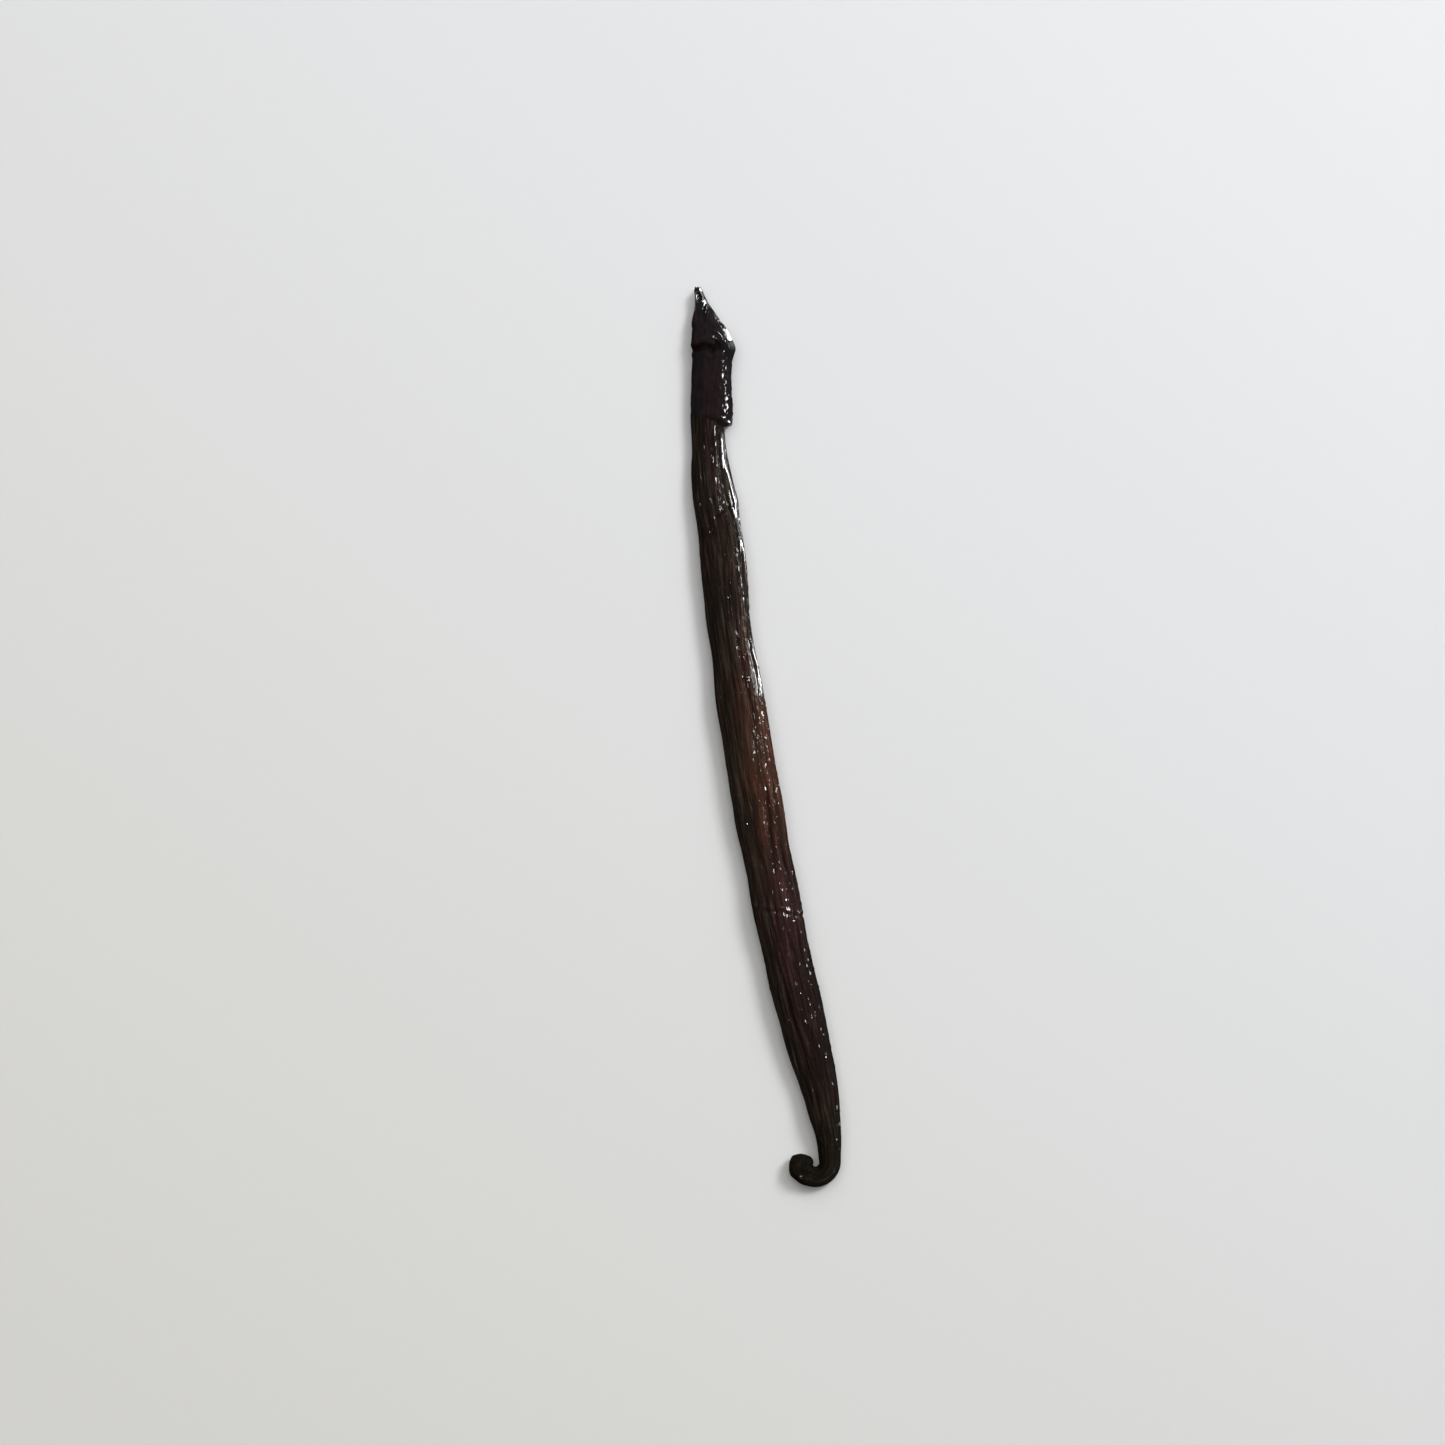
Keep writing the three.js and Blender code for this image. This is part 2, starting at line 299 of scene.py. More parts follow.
# %% Furrows
# both ends in millimetres along the pod and in degrees round it, half-width and depth in millimetres
FURROWS = [
    {"from": 53, "to": 86, "start": 80, "end": 64, "half": 0.55, "depth": 0.32},
    {"from": 46, "to": 80, "start": 87, "end": 103, "half": 0.6, "depth": 0.26},
    {"from": 47, "to": 79, "start": 26, "end": 40, "half": 0.5, "depth": 0.42},
    {"from": 92, "to": 111, "start": 62, "end": 82, "half": 0.5, "depth": 0.36},
    {"from": 94, "to": 108, "start": 96, "end": 109, "half": 0.5, "depth": 0.26},
    {"from": 93, "to": 111, "start": 42, "end": 45, "half": 0.45, "depth": 0.32},
    {"from": 120, "to": 152, "start": 74, "end": 88, "half": 0.55, "depth": 0.26},
    {"from": 126, "to": 158, "start": 112, "end": 102, "half": 0.55, "depth": 0.3},
]
SCATTERED_FURROWS = 22
FURROW_SEED = 7
FURROW_LENGTHS = (22, 67)
FURROW_ZONE = (24, 158)
FURROW_JITTER = 0.8  # share of the angle between one furrow and the next
FURROW_DRIFT = 30  # degrees that a furrow may wind from end to end
FURROW_HALVES = (0.5, 0.75)
FURROW_DEPTHS = (0.12, 0.28)


def seeded_draw(seed):
    """A repeatable draw of numbers between 0 and 1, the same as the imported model's."""
    state = seed

    def draw():
        nonlocal state
        state = (state * 1664525 + 1013904223) % 2**32
        return state / 2**32

    return draw


def scattered_furrows():
    draw = seeded_draw(FURROW_SEED)

    def between(low, high):
        return low + (high - low) * draw()

    furrows = []
    for i in range(SCATTERED_FURROWS):
        length = between(*FURROW_LENGTHS)
        start_place = between(FURROW_ZONE[0], FURROW_ZONE[1] - length)
        start = 360 / SCATTERED_FURROWS * (i + FURROW_JITTER * draw())
        end = start + FURROW_DRIFT * (draw() - 0.5)
        half = between(*FURROW_HALVES)
        depth = between(*FURROW_DEPTHS)
        furrows.append({"from": start_place, "to": start_place + length, "start": start, "end": end,
                        "half": half, "depth": depth})
    return furrows


def furrow_depth(furrow, place, angle, radius):
    along = np.clip((place - furrow["from"]) / (furrow["to"] - furrow["from"]), 0, 1)
    centre = np.radians(furrow["start"] + (furrow["end"] - furrow["start"]) * along)
    turn = np.arctan2(np.sin(angle - centre), np.cos(angle - centre))
    fade = np.minimum(1, 3 * np.sin(np.pi * along))
    return furrow["depth"] * fade * bell(turn * radius / furrow["half"])


all_furrows = FURROWS + scattered_furrows()
print(len(all_furrows), "furrows")

# %% [markdown]
# ## Collar and shoulder
#
# Near the blossom end a collar of older skin ends in a step. The step wavers round the pod, is ragged
# along its rim and flares out on the +X side. A shoulder sticks out on the same side, where the tapered
# tip begins. A second shell could be laid over the first for the collar, but a step in one skin has no
# seam to hide, so both are heights that depend on place and angle, like everything in the relief.

# %% Collar and shoulder
COLLAR_FROM = 10
COLLAR_EDGE = 24.6
COLLAR_SLANT = 1.1
COLLAR_WOBBLE = 0.35
COLLAR_RAG = 0.35
COLLAR_STEP = 0.3
COLLAR_FLARE = 1.55
COLLAR_FACE = 0.16
COLLAR_REACH = 5
SHOULDER_AT = 11.7
SHOULDER_HEIGHT = 0.4
SHOULDER_HALF = 0.9


def collar_course(angle):
    rag = noise_at(3 * np.cos(angle), 3 * np.sin(angle), np.full_like(angle, 0.5))
    return COLLAR_SLANT * np.cos(angle) + COLLAR_WOBBLE * np.sin(3 * angle + 0.6) + COLLAR_RAG * rag


def collar_height(place, angle):
    edge = COLLAR_EDGE + collar_course(angle)
    before = 1 - soft_step(place - edge, -COLLAR_FACE, COLLAR_FACE)
    grown = soft_step(place, COLLAR_FROM, COLLAR_EDGE)
    side = np.cos(angle)
    step = COLLAR_STEP * np.clip(1 + side, 0, 1)
    flare = (COLLAR_FLARE - COLLAR_STEP) * np.maximum(0, side) ** 2
    return before * grown * (step + flare)


def shoulder_height(place, angle):
    side = np.maximum(0, np.cos(angle)) ** 3
    return SHOULDER_HEIGHT * side * bell((place - SHOULDER_AT) / SHOULDER_HALF)


sample = collar_height(np.array([[COLLAR_EDGE - 1]]), np.array([[0.0]]))
print(f"the collar stands {sample[0, 0]:.2f} mm proud at its +X edge")

# %% [markdown]
# ## The edge fold
#
# Below the collar a thin fold of skin stands out along the +X edge. It could be a strip of its own, but on
# the real pod it is the same skin pinched together, so it is one more height. A groove runs inside it,
# darkened with painted shade, and its inner flank is wet with oil.

# %% Edge fold
# (place, height of the fold)
EDGE_FOLD = [(26, 0), (32, 0.5), (36, 0.95), (40, 1.2), (44, 0.5), (50, 0.15), (60, 0)]
EDGE_FOLD_ACROSS = 0.98
EDGE_FOLD_HALF = 0.5
EDGE_FOLD_SIDES = (-0.6, 0)  # sines of the angle between which it fades out below
FLANK_FROM, FLANK_WIDE = 0.05, 0.4
FLANK_START, FLANK_FADE = 0.1, 0.15
GROOVE_INSIDE, GROOVE_HALF, GROOVE_DEPTH = 0.8, 0.16, 0.22
edge_fold_at = through_stations(EDGE_FOLD)


def edge_fold_course(place, angle):
    """The fold's own height at a place, and how far a point lies inside its crest, in millimetres."""
    grown = edge_fold_at(np.clip(place, EDGE_FOLD[0][0], EDGE_FOLD[-1][0]))
    inwards = (EDGE_FOLD_ACROSS - rounded(np.cos(angle))) * width_at(place) / 2
    return grown, inwards


def edge_fold_height(place, angle):
    grown, inwards = edge_fold_course(place, angle)
    return grown * bell(inwards / EDGE_FOLD_HALF) * soft_step(np.sin(angle), *EDGE_FOLD_SIDES)


def edge_fold_parts(place, angle):
    """The groove inside the edge fold, which the finish darkens with painted shade, and its oily inner
    flank, as masks from 0 to 1.
    """
    grown, inwards = edge_fold_course(place, angle)
    on_top = soft_step(grown, 0.05, 0.2) * (np.sin(angle) > 0)
    groove = bell((inwards - GROOVE_INSIDE) / GROOVE_HALF)
    flank = plateau(inwards, FLANK_FROM, FLANK_WIDE, FLANK_START, FLANK_FADE)
    return on_top * groove, on_top * flank


print("the edge fold stands out", max(height for _, height in EDGE_FOLD), "mm at most")

# %% [markdown]
# ## Creases
#
# Creases cross the pod where it has been folded: a deep one between tip and collar, a slanting one
# beside the edge fold, and one past the middle. Each is a row of six numbers, so a crease can be added
# or moved without touching the mesh. The raised lip beside a crease is a row with a negative depth.
# Across runs from -1 at the -X edge to 1 at the +X edge.

# %% Creases
CREASE_WOBBLE = 0.6
CREASE_END = 0.2
CREASE_SIDES = (-0.55, -0.1)  # sines of the angle between which a crease fades out below
# [place, slant in mm per unit across, from across, to across, half-width, depth]
CREASES = [
    [11.4, -0.2, -1.1, 0.42, 1.0, 0.6],
    [9.9, 0.5, -0.5, 0.5, 0.3, -0.12],
    [9.1, 1.4, 0.05, 0.6, 0.2, -0.14],
    [12.9, -1.5, -0.3, 0.4, 0.25, -0.14],
    [42.1, -1.8, -0.35, 0.85, 0.3, -0.12],
    [42.8, -1.8, -0.35, 0.85, 0.28, 0.36],
    [116.2, 1.6, -0.9, 1.1, 0.26, -0.16],
    [117.0, 1.6, -0.9, 1.1, 0.3, 0.2],
]


def crease_depth(crease, place, angle):
    at, slant, start, end, half, depth = crease
    across = rounded(np.cos(angle))
    wobble = CREASE_WOBBLE * noise_at(3.5 * across + at, np.full_like(across, 0.4), 0 * across)
    away = (place - at - wobble - slant * (across - (start + end) / 2)) / half
    inside = plateau(across, start + CREASE_END, end - CREASE_END, 2 * CREASE_END)
    return depth * inside * bell(away) * soft_step(np.sin(angle), *CREASE_SIDES)


print(sum(crease[-1] > 0 for crease in CREASES), "creases")

# %% [markdown]
# ## The tip
#
# The tapered tip is pinched to a flat bevel on its +X side and swells on the other. At its very end the
# flower fell off and left a small curled ring. These forms are low and narrow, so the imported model
# leaves them out, and only the fine mesh has rings enough to carry them.

# %% Tip
TORN_BY = 0.45
TORN_REACH = 3.0
BEVEL_FROM, BEVEL_TO = 5.6, 11.3
BEVEL_RISE, BEVEL_FALL = 1.2, 0.8
BEVEL_ACROSS = 0.8
BEVEL_SLOPE = 0.55
CHEEK_AT, CHEEK_HALF, CHEEK_HEIGHT = 5.6, 1.7, 0.45
RING_AT = 1.75
RING_ACROSS = -0.1  # millimetres
RING_LONG, RING_WIDE = 0.95, 0.5
RING_HEIGHT = 0.28
RING_HALF = 0.17
RING_HOLLOW = 0.8


def tip_forms(place, angle):
    """The tip's swollen -X cheek, and the curled ring that is left where the flower fell off."""
    cheek = CHEEK_HEIGHT * bell((place - CHEEK_AT) / CHEEK_HALF) * np.maximum(0, -np.cos(angle)) ** 2
    sideways = width_at(place) / 2 * rounded(np.cos(angle))
    away = np.hypot((place - RING_AT) / RING_LONG, (sideways - RING_ACROSS) / RING_WIDE)
    ring = bell((away - 1) * RING_WIDE / RING_HALF) * (np.sin(angle) > 0)
    hollow = RING_HOLLOW * soft_step(1 - away, 0, 0.6) * (np.sin(angle) > 0)
    return cheek + RING_HEIGHT * (ring - hollow)


def bevelled(place, angle, sideways, up):
    """Raises the +X side of the tapered tip to a flat bevel, which ends in a thin edge."""
    inside = plateau(place, BEVEL_FROM + BEVEL_RISE, BEVEL_TO - BEVEL_FALL, BEVEL_RISE, BEVEL_FALL)
    half_width = width_at(place) / 2
    start = thickness_at(place) / 2 * (1 - BEVEL_ACROSS**SQUARENESS) ** (1 / SQUARENESS)
    face = start - BEVEL_SLOPE * (sideways - BEVEL_ACROSS * half_width)
    edge = soft_step(rounded(np.cos(angle)), BEVEL_ACROSS - 0.06, BEVEL_ACROSS + 0.02)
    return up + inside * edge * (np.sin(angle) > 0) * np.maximum(0, face - up)


print("the bevel runs from", BEVEL_FROM, "to", BEVEL_TO, "mm")

# %% [markdown]
# ## Leathery dents and the stem's knob
#
# The older skin of tip and collar is leathery: it has shallow dents instead of wrinkles. The dried end
# of the stem is a knob with small lumps, which leans inwards. Both could be sculpted, but noise of the
# right size does the same, and its size is one number.

# %% Dents and knob
DENT = 1.9
DENT_DEPTH = 0.12
DENTED = (5, 23)
DENT_FADE = 2
HEAD_LUMP = 0.8
HEAD_LUMP_HEIGHT = 0.28
LUMPS_FROM, LUMPS_FULL = 168, 171
HEAD_SWING = 0.5
HEAD_SWING_FROM = 171.5


def collar_dents(place, angle):
    across, up, along = straightened(place, angle)
    dents = noise_at(across / DENT, up / DENT + 3, along / (1.6 * DENT))
    small = noise_at(across / (0.45 * DENT), up / (0.45 * DENT) + 9, along / (0.7 * DENT))
    return DENT_DEPTH * plateau(place, *DENTED, DENT_FADE) * (dents + 0.5 * small)


def head_lumps(place, angle):
    x, y = middle_at(place)
    lumps = noise_at(x / HEAD_LUMP + np.cos(angle) / 0.5, y / HEAD_LUMP, np.sin(angle) / 0.5)
    return HEAD_LUMP_HEIGHT * soft_step(place, LUMPS_FROM, LUMPS_FULL) * lumps


print("dents from", DENTED[0], "to", DENTED[1], "mm, lumps from", LUMPS_FROM, "mm")

# %% [markdown]
# ## The whole large relief
#
# All large forms are heights, in millimetres outwards from the plain section, so they can simply be
# added. Where the pod is very thin, swellings, furrows and creases fade out.

# %% Sum of the large forms
FORMS_FADE = (0.5, 2.5)  # mean radius at which those forms begin, and at which they are whole


def large_relief(place, angle):
    """Height of the large forms in millimetres, outwards from the plain section."""
    radius = (width_at(place) + thickness_at(place)) / 4
    full = soft_step(radius, *FORMS_FADE)
    height = valve_ridges(place, angle, radius)
    for form in (collar_height, shoulder_height, edge_fold_height, tip_forms, collar_dents, head_lumps):
        height = height + form(place, angle)
    height = height + full * swellings(place, angle)
    for furrow in all_furrows:
        height = height - full * furrow_depth(furrow, place, angle, radius)
    for crease in CREASES:
        height = height - full * crease_depth(crease, place, angle)
    return height


sample = large_relief(np.array([[24.0]]), np.array([[0.0]]))
print(f"the relief is {sample[0, 0]:.2f} mm at the collar's +X edge")

# %% [markdown]
# ## The fine wrinkles
#
# The dried skin is covered with wrinkles about a millimetre apart. They run along the pod, part and join
# again, with rounded tops and narrow valleys. Folded noise gives that form: where smooth noise passes
# through zero, its absolute value makes a sharp valley between two rounded tops. The noise is read on
# the straightened pod, stretched along it, so that the wrinkles follow the curled stem as well.

# %% Fine wrinkles
# [distance apart, length, depth before and past the pod's middle, roundness of the valley]
WRINKLES = [
    [2.2, 48, 0.15, 0.10, 0.9],
    [1.1, 26, 0.09, 0.05, 1.5],
    [1.3, 8, 0.02, 0.11, 1.2],
    [0.6, 7, 0.05, 0.06, 1.8],
]
PAST_MIDDLE = (88, 112)
NOISE_SHIFT = 17.3  # keeps two sizes of wrinkle from reading the same noise
SWAY = 1.2  # millimetres that a wrinkle may wander sideways
SWAY_ACROSS, SWAY_ALONG = 5, 22
VALLEY_NARROWNESS = 2.8
PATCHY_LEVEL, PATCHY_SWING = 0.75, 0.5
PATCHY_ACROSS, PATCHY_ALONG = 4, 12
# (place, strength of the wrinkles)
WRINKLE_STRENGTH = [
    (0, 0.35), (9, 0.3), (14, 0.3), (23, 0.35), (27, 0.8), (45, 0.9), (70, 1), (140, 1), (158, 0.5),
    (165, 0.25), (LENGTH, 0.35),
]
wrinkle_strength_at = through_stations(WRINKLE_STRENGTH)


def wrinkle_depth(place, angle):
    across, up, along = straightened(place, angle)
    sway = SWAY * noise_at(across / SWAY_ACROSS, up / SWAY_ACROSS, along / SWAY_ALONG)
    depth = np.zeros_like(across)
    past = soft_step(place, *PAST_MIDDLE)
    for number, (apart, long, before, after, roundness) in enumerate(WRINKLES, 1):
        shift = NOISE_SHIFT * number
        waves = noise_at((across + sway) / apart + shift, (up - sway) / apart, along / long + shift)
        valley = 1 - np.minimum(1, VALLEY_NARROWNESS * np.abs(waves)) ** roundness
        depth += (before + (after - before) * past) * valley
    patches = noise_at(across / PATCHY_ACROSS + 90, up / PATCHY_ACROSS, along / PATCHY_ALONG)
    return depth * (PATCHY_LEVEL + PATCHY_SWING * patches) * wrinkle_strength_at(place)


print(len(WRINKLES), "sizes of wrinkle, the finest", WRINKLES[-1][0], "mm apart")

# %% [markdown]
# ## Raised strands
#
# Between the wrinkles single strands of the skin stand up like fine cords, most of them on the +X side.
# Oil gathers on them, so each draws a thin bright line. A strand is a course of (place, across) points.
# The long ones are given one by one; short ones are scattered between them with a seeded draw.

# %% Raised strands
# (height, half-width, course of (place, across) points)
STRANDS = [
    (0.15, 0.17, [(2.4, 0.6), (5, -0.6)]),
    (0.15, 0.17, [(3, 0.7), (6, -0.35)]),
    (0.10, 0.16, [(4.2, 0.5), (6.4, -0.05)]),
    (0.14, 0.18, [(8.4, 0.15), (9.5, 0.55)]),
    (0.12, 0.16, [(9.6, 0.3), (11, 0.7)]),
    (0.13, 0.20, [(25, 0.36), (30.5, 0.42), (34, 0.38)]),
    (0.12, 0.17, [(29, 0.13), (33, 0.25), (37, 0.29), (42, 0.28)]),
    (0.10, 0.17, [(36.5, 0.66), (40.5, 0.62)]),
    (0.06, 0.18, [(24.5, -0.42), (31, -0.54), (37.5, -0.58)]),
    (0.10, 0.16, [(44, 0.86), (49.5, 0.84), (56, 0.8)]),
    (0.12, 0.18, [(46, 0.6), (51.5, 0.62), (57, 0.74)]),
    (0.16, 0.28, [(56, 0.84), (61, 0.78), (65, 0.8), (69, 0.75), (76, 0.8)]),
    (0.10, 0.16, [(54, 0.22), (59, 0.29), (65, 0.4), (71.5, 0.42), (76, 0.37)]),
    (0.14, 0.20, [(68.5, 0.88), (71.5, 0.93), (76, 0.95)]),
    (0.10, 0.20, [(81.5, 0.47), (84.5, 0.61)]),
    (0.08, 0.20, [(84.5, -0.37), (87, -0.07)]),
]
SCATTERED_STRANDS = 36
STRAND_SEED = 5
STRAND_STARTS, STRAND_LENGTHS = (27, 108), (3, 13)
STRAND_ACROSS = (-0.5, 0.95)
STRAND_LEAN = (-0.01, 0.01)  # change of across in each millimetre
STRAND_HEIGHTS, STRAND_HALVES = (0.03, 0.08), (0.16, 0.22)
STRAND_FADE = 1.2
CREST_FROM, CREST_FULL = 0.2, 0.7  # shares of the strand's height
OILY_HEIGHT = 0.1  # lower strands carry less oil


def scattered_strands():
    draw = np.random.default_rng(STRAND_SEED)
    strands = []
    for _ in range(SCATTERED_STRANDS):
        start = draw.uniform(*STRAND_STARTS)
        end = start + draw.uniform(*STRAND_LENGTHS)
        across = draw.uniform(*STRAND_ACROSS)
        lean = draw.uniform(*STRAND_LEAN)
        course = [(start, across), (end, across + lean * (end - start))]
        strands.append((draw.uniform(*STRAND_HEIGHTS), draw.uniform(*STRAND_HALVES), course))
    return strands


def strand_shapes(place, angle):
    """Height of all strands in millimetres, and their crests as a mask from 0 to 1."""
    side = rounded(np.cos(angle))
    half_width = width_at(place) / 2
    height = np.zeros_like(side * place)
    crest = np.zeros_like(height)
    for high, half, course in STRANDS + scattered_strands():
        start, end = course[0][0], course[-1][0]
        fade = min(STRAND_FADE, (end - start) / 3)
        line = through_stations(course)(np.clip(place, start, end))
        shape = plateau(place, start + fade, end - fade, fade) * (np.sin(angle) > 0)
        shape = shape * bell((side - line) * half_width / half)
        height = np.maximum(height, high * shape)
        oily = min(1, (high / OILY_HEIGHT) ** 2)
        crest = np.maximum(crest, oily * soft_step(shape, CREST_FROM, CREST_FULL))
    return height, crest


print(len(STRANDS), "long strands and", SCATTERED_STRANDS, "short ones")

# %% [markdown]
# ## Crusted patches
#
# Here and there oil has dried to a crust: along the collar's +X edge, on the long fold, at the folds
# that cross the pod, and at the stem's knee. The crust is a patch of short bumps with no grain
# direction. They are part of the mesh and not of the finish, because their outline shows at the edges.

# %% Crusted patches
CRUST_BUMP = 0.62
CRUST_STEEPNESS = 1.6
CRUST_LEVEL = 0.25  # bumps of the noise below this level become hollows
FINE_BUMPS = 0.4  # their share of the crust's height
CRUST_FADE = 1.0
CRUST_DOWN_TO = -0.2  # sine of the angle below which there is none
# (height, [from place, to place, from across, to across])
CRUSTED_PATCHES = [
    (0.16, [13, 26, 0.62, 1.0]),
    (0.10, [50, 80, 0.72, 1.0]),
    (0.10, [84, 88, 0.45, 0.8]),
    (0.12, [115, 118, -0.45, 0.9]),
    (0.10, [155.5, 158, 0.3, 0.8]),
    (0.10, [167, 174, -0.8, 0.8]),
]


def crust_height(place, angle):
    across, up, along = (grid / CRUST_BUMP for grid in straightened(place, angle))
    coarse = noise_at(across + 31, up, along / 1.5)
    fine = noise_at(2.1 * across, 2.1 * up + 7, 1.6 * along)
    bumps = (1 - FINE_BUMPS) * coarse + FINE_BUMPS * fine
    side = rounded(np.cos(angle))
    above = np.sin(angle) > CRUST_DOWN_TO
    cover = np.zeros_like(across)
    for height, where in CRUSTED_PATCHES:
        cover = np.maximum(cover, height * patch(place, side, *where, soft=CRUST_FADE) * above)
    return CRUST_STEEPNESS * cover * (bumps - CRUST_LEVEL)


print(len(CRUSTED_PATCHES), "crusted patches")

# %% [markdown]
# ## Oil blisters
#
# Small raised dots of dried oil sit on the skin, most of them past the middle of the pod and on its
# upper +X side. They could be small spheres scattered by a particle system, but dots that are part of
# the skin keep it one piece. A seeded draw scatters them. Most are dry and matt, and only the few that
# drew enough oil glisten.

# %% Oil blisters
BLISTERS = 900
BLISTER_SEED = 21
BLISTER_PLACES = (112, 30)  # middle and spread, in millimetres
BLISTER_ANGLES = (62, 40)  # middle and spread, in degrees
BLISTER_HALVES, BLISTER_HEIGHTS = (0.13, 0.24), (0.05, 0.14)
BLISTER_OIL = (-6, 1)  # below 0 the blister is dry
BLISTER_OIL_SIDE = (0.1, 0.5)  # cosines of the angle between which a blister gets its full oil
BLISTER_ZONE = (30, 160)
TOP_ONLY_TO, TOP_ANGLE = 84, 1.8  # before this place there are none beyond this angle


def scattered_blisters(draw):
    """Blisters as (place, angle, half-width, height, oil), in millimetres and radians."""
    blisters = []
    for _ in range(BLISTERS):
        place, angle = draw.normal(*BLISTER_PLACES), np.radians(draw.normal(*BLISTER_ANGLES))
        half, height = draw.uniform(*BLISTER_HALVES), draw.uniform(*BLISTER_HEIGHTS)
        shown = 0.4 + 0.6 * float(soft_step(math.cos(angle), *BLISTER_OIL_SIDE))
        oil = max(0, draw.uniform(*BLISTER_OIL)) * shown
        inside = BLISTER_ZONE[0] < place < BLISTER_ZONE[1]
        if inside and (place > TOP_ONLY_TO or angle < TOP_ANGLE):
            blisters.append((place, angle, half, height, oil))
    return blisters


print(BLISTERS, "blisters drawn")

# %% [markdown]
# ## Drops of oil
#
# Where the skin is folded or bent, oil is pressed out and stands in drops: a close line of them on the
# collar, a row on the fold that crosses the pod past its middle, loose groups between, and a few large
# ones on the curled stem. Each is a steep little bump, given by its place along the pod and across it.

# %% Drops of oil
# (how many, from place, to place, from across, to across)
DROP_GROUPS = [
    (12, 86, 95, 0.3, 0.88),
    (4, 96, 101, -0.4, 0.9),
    (13, 106, 113.5, 0.0, 0.8),
    (3, 106, 113.5, -0.5, 0.0),
    (16, 119, 129, -0.3, 0.95),
    (15, 130, 142, -0.2, 0.9),
    (3, 147, 150, 0.2, 0.9),
    (3, 155, 158, 0.75, 0.9),
]
DROP_HALF, DROP_OIL = (0.09, 0.19), (0.25, 0.8)
DROP_STEEPNESS = 0.95
DROP_OIL_SIDE = (0.0, 0.4)  # across between which a drop gets its full oil
FOLD_DROPS = 13
FOLD_DROPS_AT, FOLD_DROPS_SLANT, FOLD_DROPS_SPREAD = 117, 1.6, 0.2
FOLD_DROPS_ACROSS = (-0.66, 0.85)
FOLD_DROP_HALF, FOLD_DROP_OIL = (0.13, 0.22), (0.7, 1)
# (place, across, half-width, oil) of the large drops on the curled stem
CURL_DROPS = [
    (157.6, 0.9, 0.3, 1), (165.5, 0.47, 0.36, 1), (170.8, 0.5, 0.3, 1), (170, 0.3, 0.24, 1),
    (169.3, 0.2, 0.26, 1), (172, -0.5, 0.26, 0.8), (172.6, 0.35, 0.24, 0.6),
]
COLLAR_BLISTERS = 34
# course of (place, across) points of the line of drops on the collar
COLLAR_DROPS = [(12.4, 0.42), (15.6, 0.58), (19.1, 0.72), (22, 0.8), (25, 0.8)]
COLLAR_GROWTH = (12, 25)  # from half size to full size
COLLAR_DROP_HALF, COLLAR_DROP_HEIGHT = 0.3, 0.24
COLLAR_DROP_SIZES, COLLAR_DROP_OIL = (0.7, 1.1), (0.2, 1)
COLLAR_DROP_SPREAD = 0.2  # millimetres along the pod
COLLAR_DROP_WANDER, COLLAR_DROP_GROWN_WANDER = 0.03, 0.06  # across, and more for a full-sized drop
print(sum(group[0] for group in DROP_GROUPS) + FOLD_DROPS + len(CURL_DROPS) + COLLAR_BLISTERS, "drops")

# %% Drawing the drops
def angle_at(across):
    """The angle, on the upper side, of a place across that runs from -1 to 1."""
    return math.acos(math.copysign(abs(across) ** (SQUARENESS / 2), across))


def collar_drops(draw):
    """The collar's drops as (place, angle, half-width, height, oil)."""
    drops = []
    course = through_stations(COLLAR_DROPS)
    start, full = COLLAR_GROWTH
    for place in np.linspace(COLLAR_DROPS[0][0], COLLAR_DROPS[-1][0], COLLAR_BLISTERS):
        size = 0.5 + 0.5 * (place - start) / (full - start)
        across = course(place) + draw.normal(0, COLLAR_DROP_WANDER + COLLAR_DROP_GROWN_WANDER * size)
        half = COLLAR_DROP_HALF * size * draw.uniform(*COLLAR_DROP_SIZES)
        drops.append((place + draw.normal(0, COLLAR_DROP_SPREAD), angle_at(min(0.99, max(0, across))),
                      half, COLLAR_DROP_HEIGHT * size, draw.uniform(*COLLAR_DROP_OIL)))
    return drops


def small_drops(draw):
    """Drops as (place, across, half-width, oil), spread along each group and along the cross fold."""
    drops = []
    for count, start, end, low, high in DROP_GROUPS:
        for i in range(count):
            place = start + (end - start) * (i + draw.uniform(0, 1)) / count
            across = draw.uniform(low, high)
            shown = 0.5 + 0.5 * float(soft_step(across, *DROP_OIL_SIDE))
            drops.append((place, across, draw.uniform(*DROP_HALF), shown * draw.uniform(*DROP_OIL)))
    for across in np.linspace(*FOLD_DROPS_ACROSS, FOLD_DROPS):
        place = FOLD_DROPS_AT + FOLD_DROPS_SLANT * across + draw.normal(0, FOLD_DROPS_SPREAD)
        drops.append((place, across, draw.uniform(*FOLD_DROP_HALF), draw.uniform(*FOLD_DROP_OIL)))
    return drops


def blisters_and_drops():
    draw = np.random.default_rng(BLISTER_SEED)
    dots = scattered_blisters(draw) + collar_drops(draw)
    for place, across, half, oil in small_drops(draw) + CURL_DROPS:
        dots.append((place, angle_at(across), half, DROP_STEEPNESS * half, oil))
    return dots


all_dots = blisters_and_drops()
print(len(all_dots), "blisters and drops")

# %% [markdown]
# ## The dots as a height
#
# Each dot is a low bell that only touches the few rings and sides near it, so it is added there alone,
# which is far quicker than adding it to the whole grid. The same bell, cut off a little above its foot,
# tells the finish where the dot's oil lies.

# %% Heights of the dots
DOT_REACH = 3  # half-widths
DOT_LENGTH = 1.1  # a dot is a little longer than wide
DOT_OIL = (0.25, 0.6)  # heights, as shares of the dot's own, between which its oil begins


